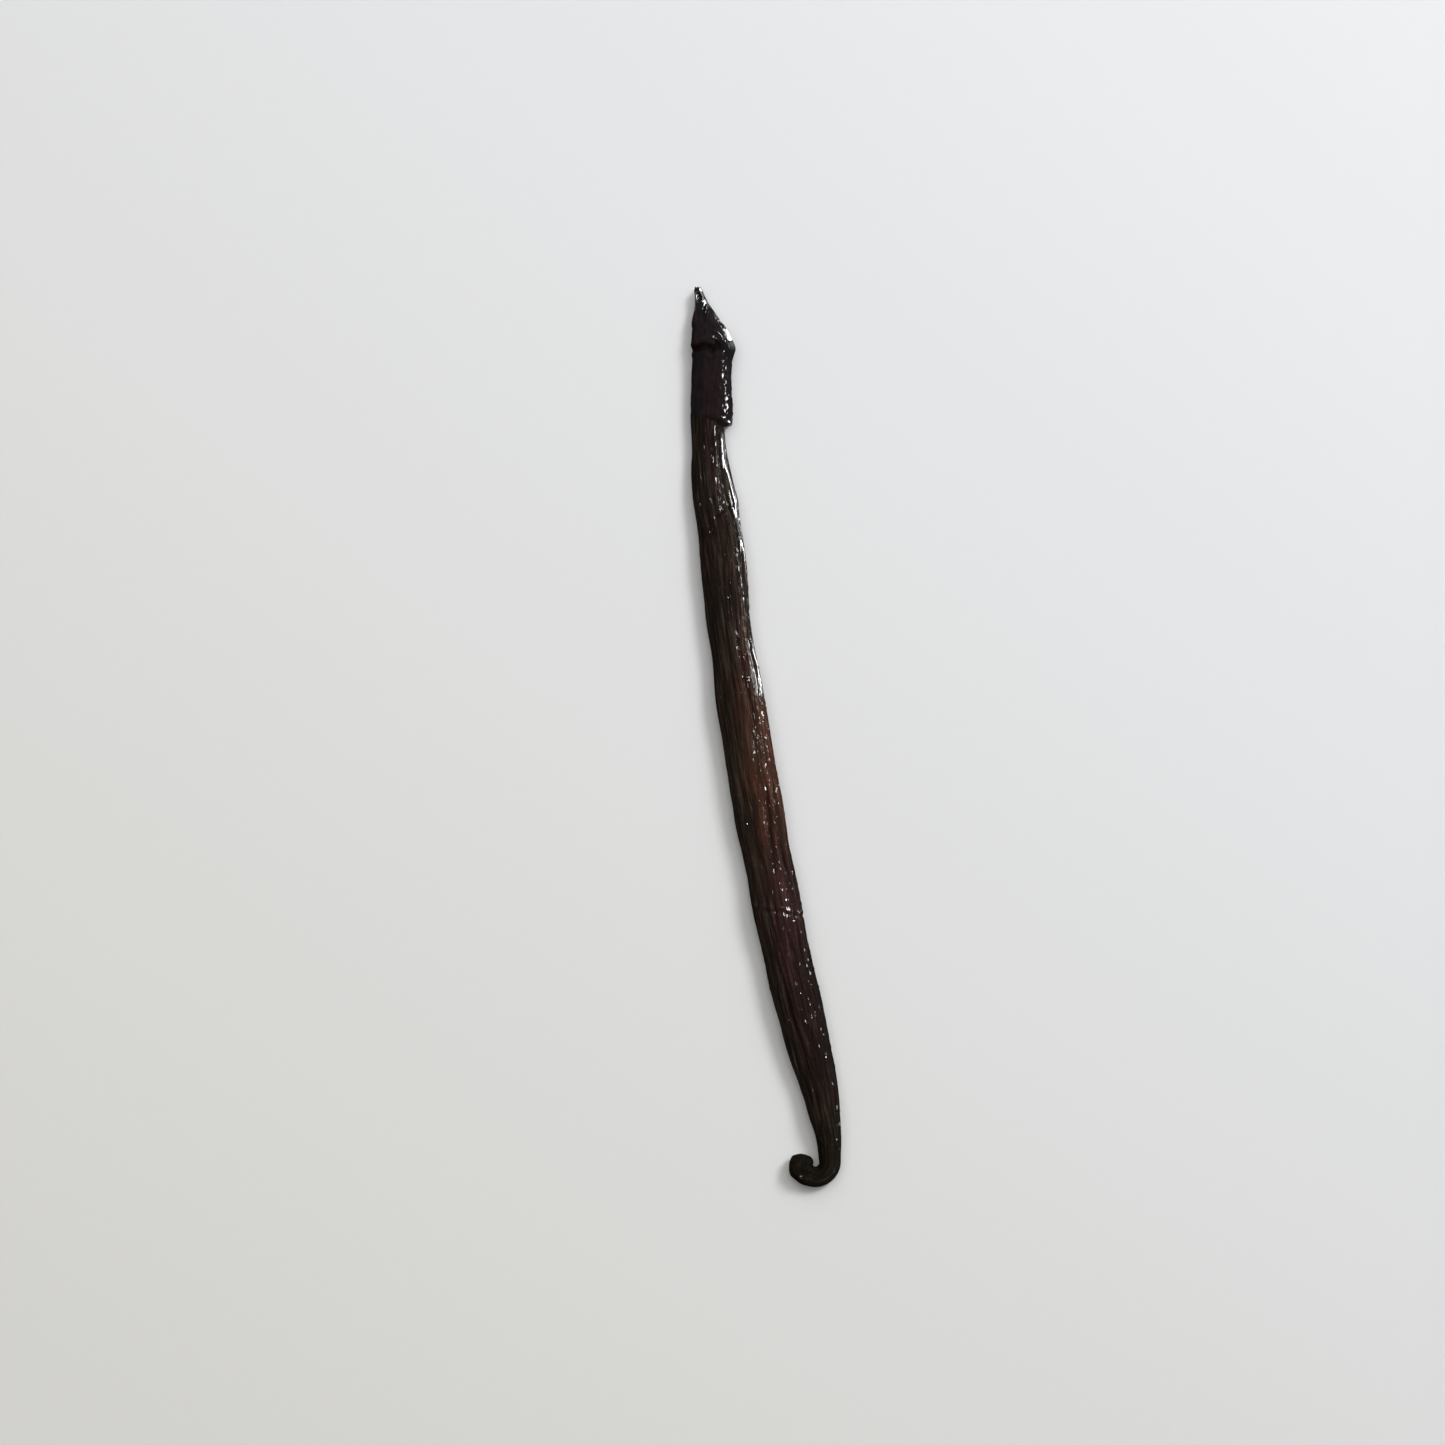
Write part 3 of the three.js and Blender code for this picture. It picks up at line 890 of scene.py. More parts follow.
def dot_shapes(places, angles):
    """Heights of all dots on a grid of places (down) and angles (across), and their oil."""
    heights = np.zeros((len(places), len(angles)))
    oils = np.zeros_like(heights)
    for place, angle, half, height, oil in all_dots:
        radius = float(width_at(np.array(place)) + thickness_at(np.array(place))) / 4
        turns = np.arctan2(np.sin(angles - angle), np.cos(angles - angle))
        rows = np.nonzero(np.abs(places - place) < DOT_REACH * half)[0]
        columns = np.nonzero(np.abs(turns) * radius < DOT_REACH * half)[0]
        if not len(rows) or not len(columns):
            continue
        along = (places[rows] - place)[:, None] / DOT_LENGTH
        shape = bell(np.hypot(along, (turns[columns] * radius)[None, :]) / half)
        grid = np.ix_(rows, columns)
        heights[grid] = np.maximum(heights[grid], height * shape)
        oils[grid] = np.maximum(oils[grid], oil * soft_step(shape, *DOT_OIL))
    return heights, oils


print("a dot reaches", DOT_REACH, "half-widths")

# %% [markdown]
# ## The skin mesh
#
# The skin is a grid: rings along the pod, sides round it. The sides are closer together on top, where
# the eye looks. Near the collar's step the rings follow its course, so the step stays crisp. At the
# blossom end the grid turns inwards and makes a small torn hollow.

# %% Rings and sides
RINGS = 600
SIDES = 160
TOP_CROWDING = 0.42
HEAD_RINGS = 12
TIP_RINGS = 90
TIP_TO = 13


def ring_places():
    head_from = LENGTH - HEAD_ROUNDING
    tip = np.linspace(0, TIP_TO, TIP_RINGS, endpoint=False)
    body = np.linspace(TIP_TO, head_from, RINGS - HEAD_RINGS - TIP_RINGS, endpoint=False)
    head = head_from + HEAD_ROUNDING * np.sin(np.pi / 2 * np.arange(HEAD_RINGS) / HEAD_RINGS)
    return np.concatenate([tip, body, head])


def side_angles():
    even = np.linspace(0, 2 * np.pi, SIDES, endpoint=False)
    return even + TOP_CROWDING * np.cos(even)


def place_on_ring(place, angle):
    """The place of a ring's point, which follows the collar's step and the torn end."""
    near = np.abs(place - COLLAR_EDGE) / COLLAR_REACH
    follow = 1 - soft_step(near, 0, 1)
    tear = 0.6 * np.sin(2 * angle + 0.7) + 0.4 * np.sin(5 * angle)
    torn = 1 - soft_step(place, 0, TORN_REACH)
    return place + follow * collar_course(angle) + TORN_BY * torn * tear


places = ring_places()
angles = side_angles()
print(len(places), "rings of", len(angles), "sides")

# %% Points of the skin
def skin_point(place, angle, relief):
    """Points of the skin in millimetres, before the pod is centred on the table."""
    x, y = middle_at(place)
    heading = heading_at(place)
    raised = relief * head_share(place)
    sideways = width_at(place) / 2 * rounded(np.cos(angle)) + raised * np.cos(angle)
    sideways = sideways - HEAD_SWING * soft_step(place, HEAD_SWING_FROM, LENGTH)
    up = thickness_at(place) / 2 * rounded(np.sin(angle)) + raised * np.sin(angle)
    up = bevelled(place, angle, sideways, up)
    z = np.maximum(0, middle_height_at(place) + up)
    return np.stack([x + np.cos(heading) * sideways, y + np.sin(heading) * sideways, z], axis=-1)


bare = skin_point(np.array(LENGTH / 2), np.array(np.pi / 2), 0.0)
print("the bare skin's top, halfway along:", bare.round(1), "mm")

# %% The whole skin
LIP_OIL_FULL = 0.08  # height of a crease's lip from which it is fully oily
ring_grid = place_on_ring(places[:, None], angles[None, :])
angle_grid = np.broadcast_to(angles[None, :], ring_grid.shape)
plain = large_relief(ring_grid, angle_grid)
valleys = wrinkle_depth(ring_grid, angle_grid)
dots, dot_oil = dot_shapes(places, angles)
crust = crust_height(ring_grid, angle_grid)
strands, crests = strand_shapes(ring_grid, angle_grid)
edge_groove, edge_flank = edge_fold_parts(ring_grid, angle_grid)
raised = np.maximum(dots, strands) + crust - GROOVE_DEPTH * edge_groove
smooth_skin = skin_point(ring_grid, angle_grid, plain)
skin = skin_point(ring_grid, angle_grid, plain - valleys + raised)
creased = [crease_depth(crease, ring_grid, angle_grid) for crease in CREASES]
folds = sum(np.maximum(0, depth) for depth in creased)
lips = np.clip(sum(np.maximum(0, -depth) for depth in creased) / LIP_OIL_FULL, 0, 1)
ring_radius = (width_at(ring_grid) + thickness_at(ring_grid)) / 4
grooves = sum(furrow_depth(furrow, ring_grid, angle_grid, ring_radius) for furrow in FURROWS)
print("skin grid:", skin.shape[0], "rings of", skin.shape[1], "sides")

# %% [markdown]
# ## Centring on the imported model
#
# The rings start at the blossom end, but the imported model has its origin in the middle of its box. The
# smooth skin, without wrinkles, fills the same box, so the two boxes' middles give the shift.

# %% Centre the skin
smooth_low = smooth_skin.reshape(-1, 3).min(axis=0)
smooth_high = smooth_skin.reshape(-1, 3).max(axis=0)
cad_low, cad_high = (np.array(corner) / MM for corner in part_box("pod"))
shift = (cad_low + cad_high) / 2 - (smooth_low + smooth_high) / 2
shift[2] = 0
skin = skin + shift
print("shift in mm:", shift.round(3))
print("smooth skin", (smooth_high - smooth_low).round(2), "packed model", (cad_high - cad_low).round(2))

# %% [markdown]
# ## Where the skin is warm and lit
#
# The real skin differs from place to place: red-brown past the middle, wine-brown further on, plum on the
# collar and olive at the stem. The lit mask carries the skin's brightness along the pod, and painted shade:
# the -X side, the underside and the +X edge past the middle are darker. Each mask is one number between 0
# and 1 for every point. Plain soft steps draw them, so a patch is easy to move.

# %% Masks of the colours
# (place, brightness of the skin's -X side, which is darkened with painted shade)
SHADED_SIDE_LEVELS = [
    (0, 0.33), (76, 0.36), (86, 0.52), (112, 0.44), (124, 0.44), (132, 0.34), (158, 0.34), (168, 0.12),
    (LENGTH, 0.12),
]
# (place, brightness of the skin's lit side)
BRIGHTNESS = [
    (0, 0.3), (12, 0.29), (24, 0.3), (28, 0.55), (48, 0.6), (58, 0.9), (66, 1.0), (80, 0.9), (97, 0.78),
    (107, 0.6), (122, 0.46), (130, 0.28), (150, 0.27), (165, 0.42), (LENGTH, 0.2),
]
# both ends of each soft step, in millimetres along the pod, or across from -1 to 1
WARM_FROM, WARM_ACROSS = (55, 92), (-0.8, 0.1)
WARM_FADE, WARM_LOSS = (120, 150), 0.5
WINE_FROM = (98, 116)
PLUM_FROM, PLUM_TO, PLUM_ACROSS = (13, 17), (24, 28), (-0.45, 0.05)
STEM_OLIVE_FROM = (148, 162)
LIT_ACROSS = (-0.3, 0.55)
# painted shade on the +X edge past the middle of the pod
EDGE_PAINTED_SHADE, EDGE_SHADE_ACROSS, EDGE_SHADE_FROM = 0.4, (0.3, 0.9), (98, 108)
# painted shade: the underside keeps only this share of the brightness, and the sides brighten between these
# sines
UNDERSIDE_SHADED_SHARE = 0.45  # share of the brightness that is left on the underside
LIT_SIDES = (-0.05, 0.4)  # sines of the angle between which the sides brighten
shaded_side_at = through_stations(SHADED_SIDE_LEVELS)
brightness_at = through_stations(BRIGHTNESS)


def place_across(angle):
    """Across from -1 to 1 on top; on the underside it jumps to the edge that is nearer."""
    return np.where(np.sin(angle) > 0, rounded(np.cos(angle)), np.sign(np.cos(angle)))


def colour_masks(place, angle):
    across = place_across(angle)
    warm = soft_step(place, *WARM_FROM) * (1 - WARM_LOSS * soft_step(place, *WARM_FADE))
    plum = soft_step(place, *PLUM_FROM) * (1 - soft_step(place, *PLUM_TO))
    # painted shade: the -X side and the underside are darker than the lit +X side
    shaded_side = shaded_side_at(place)
    lit = shaded_side + (brightness_at(place) - shaded_side) * soft_step(across, *LIT_ACROSS)
    lit = lit * (UNDERSIDE_SHADED_SHARE + (1 - UNDERSIDE_SHADED_SHARE) * soft_step(np.sin(angle), *LIT_SIDES))
    edge = soft_step(across, *EDGE_SHADE_ACROSS) * soft_step(place, *EDGE_SHADE_FROM)
    return {
        "warm": warm * soft_step(across, *WARM_ACROSS),
        "wine": soft_step(place, *WINE_FROM),
        "plum": plum * soft_step(across, *PLUM_ACROSS),
        "lit": lit * (1 - EDGE_PAINTED_SHADE * edge),
        "stem": soft_step(place, *STEM_OLIVE_FROM),
    }


masks = colour_masks(ring_grid, angle_grid)
print("masks:", sorted(masks))

# %% [markdown]
# ## Where the skin is oily
#
# Oil keeps to what stands out: strands, lips of creases, the edge fold's flank, drops and blisters. It
# also stands in three wet patches, and as pinhead beads nearly everywhere. Gloss that follows the forms
# looks right from any side, while gloss that was spread evenly would turn the pod into plastic.

# %% Masks of the oil
# (shine, [from place, to place, from across, to across])
WET_PATCHES = [
    (1.0, [67.2, 75.8, 0.74, 0.92]),
    (1.0, [6.4, 10.8, 0.87, 1.0]),
    (1.0, [0.3, 3, -1.0, 1.0]),
]
# (share of the beads that show, [from place, to place, from across, to across])
BEADED_PATCHES = [
    (0.22, [84, 112, 0.25, 0.95]),
    (0.14, [112, 152, 0.2, 0.95]),
    (0.20, [26, 84, 0.15, 0.95]),
    (0.60, [14, 24, 0.5, 0.85]),
    (0.25, [164, 174, -0.8, 0.8]),
]
WET_FADE = 1.5
BEADS_ELSEWHERE = 0.015
OILY_SIDES = (-0.1, 0.25)  # sines of the angle between which the oil begins
OIL_FILM, OIL_FILM_LOSS, OIL_FILM_FADE = 0.02, 0.016, (105, 120)
FACE_OIL, FACE_OIL_WHERE, FACE_OIL_FADE = 0.1, [33, 82, 0.4, 0.9], 6
DRIER, DRIER_FROM, DRIER_ACROSS = 0.7, (56, 62), (0.1, 0.35)  # the -X side carries less oil


def oil_masks(place, angle):
    across = place_across(angle)
    top = soft_step(np.sin(angle), *OILY_SIDES)
    oil = OIL_FILM - OIL_FILM_LOSS * soft_step(place, *OIL_FILM_FADE)
    oil = oil + FACE_OIL * patch(place, across, *FACE_OIL_WHERE, soft=FACE_OIL_FADE)
    oil = np.maximum(oil, np.maximum(crests, lips))
    oil = oil * (1 - DRIER * soft_step(place, *DRIER_FROM) * (1 - soft_step(across, *DRIER_ACROSS)))
    wet = np.maximum(edge_flank, dot_oil)
    for shine, where in WET_PATCHES:
        wet = np.maximum(wet, shine * patch(place, across, *where, soft=WET_FADE))
    beads = np.full_like(place, BEADS_ELSEWHERE)
    for cover, where in BEADED_PATCHES:
        beads = np.maximum(beads, cover * patch(place, across, *where))
    return {"oil": oil * top, "wet": wet * top, "beads": beads * top}


masks.update(oil_masks(ring_grid, angle_grid))
for name, mask in masks.items():
    print(f"mask {name}: {mask.min():.2f} to {mask.max():.2f}")

# %% [markdown]
# ## From points to a mesh
#
# Each square of the grid becomes one face, and a fan closes either end. The mesh also keeps what its
# finish needs at every point: its place on the straightened pod, how deep it lies in a wrinkle or a
# fold, and the masks. Materials read these as attributes, so grain and colour follow every bend. The
# faces up to the collar's step use the second finish, which is for older skin.

# %% Faces of the grid
# (depth, share of the ring's width) of the rings inside the torn end, from the deepest
HOLLOW = [(1.7, 0.2), (1.3, 0.45), (0.6, 0.66)]


def hollow_rings():
    """Rings inside the torn end, from the deepest to the rim."""
    rim = skin[0]
    spread = rim - rim.mean(axis=0)
    rings = []
    for depth, share in HOLLOW:
        x, y = middle_at(np.array(depth))
        centre = np.array([x + shift[0], y + shift[1], float(middle_height_at(np.array(depth)))])
        rings.append(centre + spread * share)
    return rings


def grid_faces(ring_count):
    faces = []
    for ring in range(ring_count - 1):
        for side in range(SIDES):
            following = (side + 1) % SIDES
            a, b = ring * SIDES + side, ring * SIDES + following
            faces.append((a, b, b + SIDES, a + SIDES))
    return faces


def end_fans(bottom_at, head_at, last):
    """Triangles that close the hollow at the blossom end and the head of the stem."""
    faces = []
    for side in range(SIDES):
        following = (side + 1) % SIDES
        faces.append((bottom_at, following, side))
        faces.append((head_at, last + side, last + following))
    return faces


print(len(HOLLOW), "rings inside the torn end")

# %% Values kept with the mesh
# The valley and fold values place painted shade: the finish darkens the skin in wrinkle valleys, creases,
# the eight deep furrows and the edge fold's groove.
FULL_VALLEY = 0.35  # depth of a wrinkle at which its valley is darkest
FOLD_SHADE_DEPTHS, FURROW_SHADE_DEPTHS = (0.1, 0.4), (0.16, 0.34)  # depths between which a fold or furrow darkens
FURROW_SHADE_SHARE = 0.8


def store(mesh, name, kind, values):
    """Keeps values, one row for each point, as an attribute of the mesh."""
    attribute = mesh.attributes.new(name, kind, "POINT")
    field = "vector" if kind == "FLOAT_VECTOR" else "value"
    attribute.data.foreach_set(field, np.ascontiguousarray(values, dtype=np.float32).ravel())


def store_skin_values(mesh, padding):
    """Stores every value that the finish reads. The rings in the hollow repeat the first ring's."""
    straight = np.stack(straightened(ring_grid, angle_grid), axis=-1)
    furrow_shade = FURROW_SHADE_SHARE * soft_step(grooves, *FURROW_SHADE_DEPTHS)
    fold = np.maximum(np.maximum(soft_step(folds, *FOLD_SHADE_DEPTHS), furrow_shade), edge_groove)
    grids = {"straight": straight, "valley": np.clip(valleys / FULL_VALLEY, 0, 1), "fold": fold, **masks}
    for name, grid in grids.items():
        rows = np.concatenate([grid[:1]] * padding + [grid])
        flat = rows.reshape(len(rows) * SIDES, -1)
        kind = "FLOAT_VECTOR" if name == "straight" else "FLOAT"
        store(mesh, name, kind, np.concatenate([flat, flat[:1], flat[-1:]]))


print(len(masks) + 3, "values for each point")

# %% Mesh
def make_skin():
    inner = hollow_rings()
    all_rings = np.concatenate([np.array(inner), skin])
    bottom = all_rings[0].mean(axis=0)
    head = skin_point(np.array(LENGTH), np.array(0.0), 0.0) + shift
    points = np.concatenate([all_rings.reshape(-1, 3), [bottom, head]])
    last = (len(all_rings) - 1) * SIDES
    faces = grid_faces(len(all_rings)) + end_fans(len(points) - 2, len(points) - 1, last)
    mesh = bpy.data.meshes.new("pod_skin")
    mesh.from_pydata((points * MM).tolist(), [], faces)
    mesh.update()
    mesh.shade_smooth()
    collar_rings = len(inner) + int(np.searchsorted(places, COLLAR_EDGE))
    for face in mesh.polygons:
        if min(face.vertices) < collar_rings * SIDES:
            face.material_index = 1
    store_skin_values(mesh, len(inner))
    return bpy.data.objects.new("pod_skin", mesh)


pod = make_skin()
bpy.context.scene.collection.objects.link(pod)
triangles = sum(len(face.vertices) - 2 for face in pod.data.polygons)
print(pod.name, "has", triangles, "triangles")

# %% [markdown]
# ## Node helpers
#
# A material is a graph of nodes. These helpers add a node with its settings, link two sockets, and
# multiply or map values, so that each finish below reads like a recipe.

# %% Adding nodes
def feed(tree, socket, value):
    """Gives a socket its value: a link from another socket, or a plain number or colour."""
    if isinstance(value, bpy.types.NodeSocket):
        tree.links.new(value, socket)
    else:
        socket.default_value = value


def add(tree, kind, settings=None, **inputs):
    """A new node, with settings for its own options and inputs by the socket's name."""
    made = tree.nodes.new(kind)
    for name, value in (settings or {}).items():
        setattr(made, name, value)
    for name, value in inputs.items():
        feed(tree, made.inputs[name.replace("_", " ")], value)
    return made


def attribute(tree, name, output="Fac"):
    return add(tree, "ShaderNodeAttribute", {"attribute_name": name}).outputs[output]


print("nodes can be added and fed")

# %% Sums with nodes
def calculate(tree, operation, *values):
    """A Math node. Its inputs are sockets or plain numbers."""
    made = add(tree, "ShaderNodeMath", {"operation": operation})
    for socket, value in zip(made.inputs, values):
        feed(tree, socket, value)
    return made.outputs[0]


def plus(tree, first, second):
    return calculate(tree, "ADD", first, second)


def minus(tree, first, second):
    return calculate(tree, "SUBTRACT", first, second)


def larger(tree, first, second):
    return calculate(tree, "MAXIMUM", first, second)


def times(tree, first, *others):
    product = first
    for value in others:
        product = calculate(tree, "MULTIPLY", product, value)
    return product


def map_value(tree, value, low, high, to_low=0.0, to_high=1.0):
    """value between low and high, mapped smoothly to the range to_low to to_high."""
    made = add(tree, "ShaderNodeMapRange", {"interpolation_type": "SMOOTHSTEP"}, Value=value,
               From_Min=low, From_Max=high, To_Min=to_low, To_Max=to_high)
    return made.outputs["Result"]


print("values can be added, multiplied and mapped")

# %% Colours and noise with nodes
def mix_colours(tree, share, first, second):
    made = add(tree, "ShaderNodeMix", {"data_type": "RGBA"})
    for name, value in (("Factor_Float", share), ("A_Color", first), ("B_Color", second)):
        feed(tree, next(s for s in made.inputs if s.identifier == name), value)
    return next(s for s in made.outputs if s.identifier == "Result_Color")


def brightened(tree, colour, factor):
    """colour times factor, which may be more than 1."""
    made = add(tree, "ShaderNodeVectorMath", {"operation": "SCALE"}, Scale=factor)
    feed(tree, made.inputs[0], colour)
    return made.outputs["Vector"]


def stretch(tree, vector, across, along):
    """The straightened place divided by the size of a grain across and along the pod."""
    made = add(tree, "ShaderNodeVectorMath", {"operation": "MULTIPLY"})
    feed(tree, made.inputs[0], vector)
    made.inputs[1].default_value = (1 / across, 1 / across, 1 / along)
    return made.outputs["Vector"]


def noise_texture(tree, vector, across, along, detail=2.0):
    """Noise between 0 and 1, of a grain size given in millimetres across and along the pod."""
    return add(tree, "ShaderNodeTexNoise", Vector=stretch(tree, vector, across, along), Scale=1.0,
               Detail=detail, Roughness=0.55, Distortion=0.3).outputs["Fac"]


print("colours can be mixed and brightened")

# %% [markdown]
# ## Grain of the skin, as a node group
#
# Between the wrinkles the skin has a grain too fine for the mesh: streaks along the pod, thin dark
# cracks, and pinhead beads of oil. The body and the collar both use it with values of their own, so it
# is one group. It gives a height for a Bump node, and masks for colour and gloss.

# %% Grain group
# (size across, size along, detail) of each noise, in millimetres
STREAK_GRAIN = (0.42, 8, 4.0)
RIPPLE_GRAIN = (0.5, 4, 0.0)
HUE_GRAIN = (2.0, 40, 3.0)
CRACK_GRAIN = (0.85, 22, 1.0)
SAND_GRAIN = (0.32, 0.5, 0.0)
CRACK_WIDTH = 0.04
SAND_SHARE = 0.8
BEAD_CELL = (0.95, 1.15)  # millimetres across and along for each bead
BEAD_RADII = (0.12, 0.32)
BEAD_RAGGEDNESS = 0.3


def make_grain_group():
    group = bpy.data.node_groups.new("pod grain", "ShaderNodeTree")
    face = group.interface
    face.new_socket("Straight", in_out="INPUT", socket_type="NodeSocketVector")
    for name in ("Streak depth", "Bead height", "Bead cover", "Crack depth"):
        face.new_socket(name, in_out="INPUT", socket_type="NodeSocketFloat")
    for name in ("Height", "Streaks", "Hues", "Cracks", "Beads"):
        face.new_socket(name, in_out="OUTPUT", socket_type="NodeSocketFloat")
    inside = add(group, "NodeGroupInput").outputs
    outside = add(group, "NodeGroupOutput").inputs
    place = inside["Straight"]

    streaks, ripples, hues, lines, sand = (
        noise_texture(group, place, *grain)
        for grain in (STREAK_GRAIN, RIPPLE_GRAIN, HUE_GRAIN, CRACK_GRAIN, SAND_GRAIN))
    from_line = calculate(group, "ABSOLUTE", minus(group, lines, 0.5))
    cracks = times(group, map_value(group, from_line, CRACK_WIDTH, 0.0),
                   map_value(group, hues, 0.35, 0.6, 0.1, 1.0))

    cells = add(group, "ShaderNodeTexVoronoi", Vector=stretch(group, place, *BEAD_CELL), Scale=1.0,
                Randomness=1.0).outputs
    drawn = add(group, "ShaderNodeSeparateColor", Color=cells["Color"]).outputs
    chosen = calculate(group, "LESS_THAN", drawn["Red"], inside["Bead cover"])
    bead_size = map_value(group, drawn["Green"], 0.0, 1.0, *BEAD_RADII)
    ragged = times(group, minus(group, sand, 0.5), BEAD_RAGGEDNESS)
    from_middle = calculate(group, "DIVIDE", plus(group, cells["Distance"], ragged), bead_size)
    dome = minus(group, 1.0, calculate(group, "POWER", from_middle, 2.0))
    beads = times(group, larger(group, dome, 0.0), chosen)

    fine = plus(group, ripples, times(group, sand, SAND_SHARE))
    fine = minus(group, fine, times(group, cracks, inside["Crack depth"]))
    low = times(group, fine, inside["Streak depth"])
    high = times(group, beads, inside["Bead height"])
    results = {"Height": plus(group, low, high), "Streaks": streaks, "Hues": hues, "Cracks": cracks,
               "Beads": beads}
    for name, value in results.items():
        group.links.new(value, outside[name])
    return group


grain_group = make_grain_group()
print("group", grain_group.name, "with", len(grain_group.nodes), "nodes")

# %% [markdown]
# ## The colour of the skin
#
# A cured pod isn't plain black. Light that enters the thin oily skin comes back a deep red-brown where the
# pod is plump, olive-brown where it is dry, and near black at the stem. So the colour is laid on in steps,
# as a painter would: two browns in long streaks, the warmer browns over them, black as painted shade on the
# -X side, the underside and the +X edge past the middle and into the valleys and folds, black into the
# cracks, and light on the ribs between. Where each of them goes was kept with the mesh, and the grain breaks
# all of it up.

# %% Colours
# The black below is both the cracks' own colour and the painted shade.
CRACK_AND_SHADE_BLACK = (0.0045, 0.0028, 0.0022, 1)
OLIVE_BROWN = (0.0420, 0.0310, 0.0215, 1)
PLUM_BROWN = (0.0480, 0.0270, 0.0220, 1)
RED_BROWN = (0.0830, 0.0310, 0.0180, 1)
RUST = (0.0730, 0.0325, 0.0190, 1)
WINE_BROWN = (0.0660, 0.0260, 0.0240, 1)
STEM_OLIVE = (0.0300, 0.0225, 0.0115, 1)
COLLAR_SLATE = (0.0270, 0.0255, 0.0285, 1)
COLLAR_PLUM = (0.0420, 0.0245, 0.0270, 1)
print("nine browns, from", CRACK_AND_SHADE_BLACK[:3], "to", RED_BROWN[:3])

# %% Laying the colours on
MOTTLE_SHARE = 0.4  # the rest of the hue comes from the grain's long hues
MORE_OLIVE, MORE_PLUM = 0.03, 0.1
HUE_EDGES, RED_EDGES = (0.44, 0.56), (0.42, 0.58)  # hues between which one colour turns into the other
WARM_MOTTLE = (0.3, 0.62, 0.6, 1.0)  # mottle from 0.3 to 0.62 lets 0.6 to all of the warmth show
# painted shade: black laid into wrinkle valleys and folds
VALLEY_EDGES = (0.45, 1.0)
VALLEY_SHADE_SHARE, FOLD_SHADE_SHARE = 0.6, 0.8
WARM_UNLINED = 0.5  # warm skin has fewer cracks
STREAK_EDGES = (0.54, 0.38)  # noise between which a streak turns black
RIB_EDGES = (0.52, 0.66)  # noise between which a rib turns light
BLOTCH_EDGES = (0.35, 0.65)


def skin_colour(tree, grain, mottle, masks, values):
    """Two colours that alternate in streaks, warmed by the mesh's own masks, with painted shade laid on from
    its lit, valley and fold masks.
    """
    hue = plus(tree, times(tree, grain["Hues"], 1 - MOTTLE_SHARE), times(tree, mottle, MOTTLE_SHARE))
    tinted = plus(tree, minus(tree, hue, MORE_OLIVE), times(tree, masks["plum"], MORE_PLUM))
    red = mix_colours(tree, map_value(tree, hue, *RED_EDGES), RUST, RED_BROWN)
    red = mix_colours(tree, masks["wine"], red, WINE_BROWN)
    warmth = times(tree, masks["warm"], map_value(tree, mottle, *WARM_MOTTLE))
    valleys = times(tree, map_value(tree, masks["valley"], *VALLEY_EDGES), VALLEY_SHADE_SHARE)
    painted_crease_shade = larger(tree, valleys, times(tree, masks["fold"], FOLD_SHADE_SHARE))
    lined = minus(tree, 1.0, times(tree, masks["warm"], WARM_UNLINED))
    lined = times(tree, lined, values["crack_share"])
    streaked = times(tree, map_value(tree, grain["Streaks"], *STREAK_EDGES), lined)

    colour = mix_colours(tree, map_value(tree, tinted, *HUE_EDGES), values["pale"], values["dark"])
    # painted shade where the lit mask is low and in valleys and folds; streaks and cracks are the skin's own
    # grain
    for share, laid_on in (
        (warmth, red),
        (masks["stem"], STEM_OLIVE),
        (minus(tree, 1.0, masks["lit"]), CRACK_AND_SHADE_BLACK),
        (painted_crease_shade, CRACK_AND_SHADE_BLACK),
        (streaked, CRACK_AND_SHADE_BLACK),
        (times(tree, grain["Cracks"], lined), CRACK_AND_SHADE_BLACK),
    ):
        colour = mix_colours(tree, share, colour, laid_on)
    ribs = map_value(tree, grain["Streaks"], *RIB_EDGES, 1.0, values["rib_light"])
    light = values["blotch_light"]
    blotches = map_value(tree, mottle, *BLOTCH_EDGES, 2.0 - light, light)
    return brightened(tree, colour, times(tree, ribs, blotches))


print("ribs turn light between", RIB_EDGES)

# %% [markdown]
# ## The finish of the skin
#
# Oil lies on top of the matt brown skin in patches and gives sharp highlights. One shader with an even
# gloss can't show both, so the skin is a matt base under a smooth clear coat, and the coat's weight is
# the oil. The grain bends the light on both layers. The body has strong ribs and cracks. The older skin
# of tip and collar has few of either, and is broken up by short lighter and darker blotches.

# %% Skin finish
MATT_SHEEN = 0.012
OIL_ROUGHNESS = 0.09
OIL_REFRACTION = 1.6
BEAD_HEIGHT = 0.15
CRACK_DEPTH = 1.2  # for each share of cracks that shows
OIL_GRAIN = (0.28, 1.5)
OIL_EDGES = (0.52, 0.62)
FULL_BEAD = 0.3  # height of a bead from which it is all oil
WET_SMOOTHS = 0.6  # share of the grain that lies drowned under wet oil
SKIN_ROUGHNESS = (0.6, 0.8)
SKIN_MASKS = ("warm", "wine", "plum", "lit", "stem", "oil", "wet", "beads", "valley", "fold")


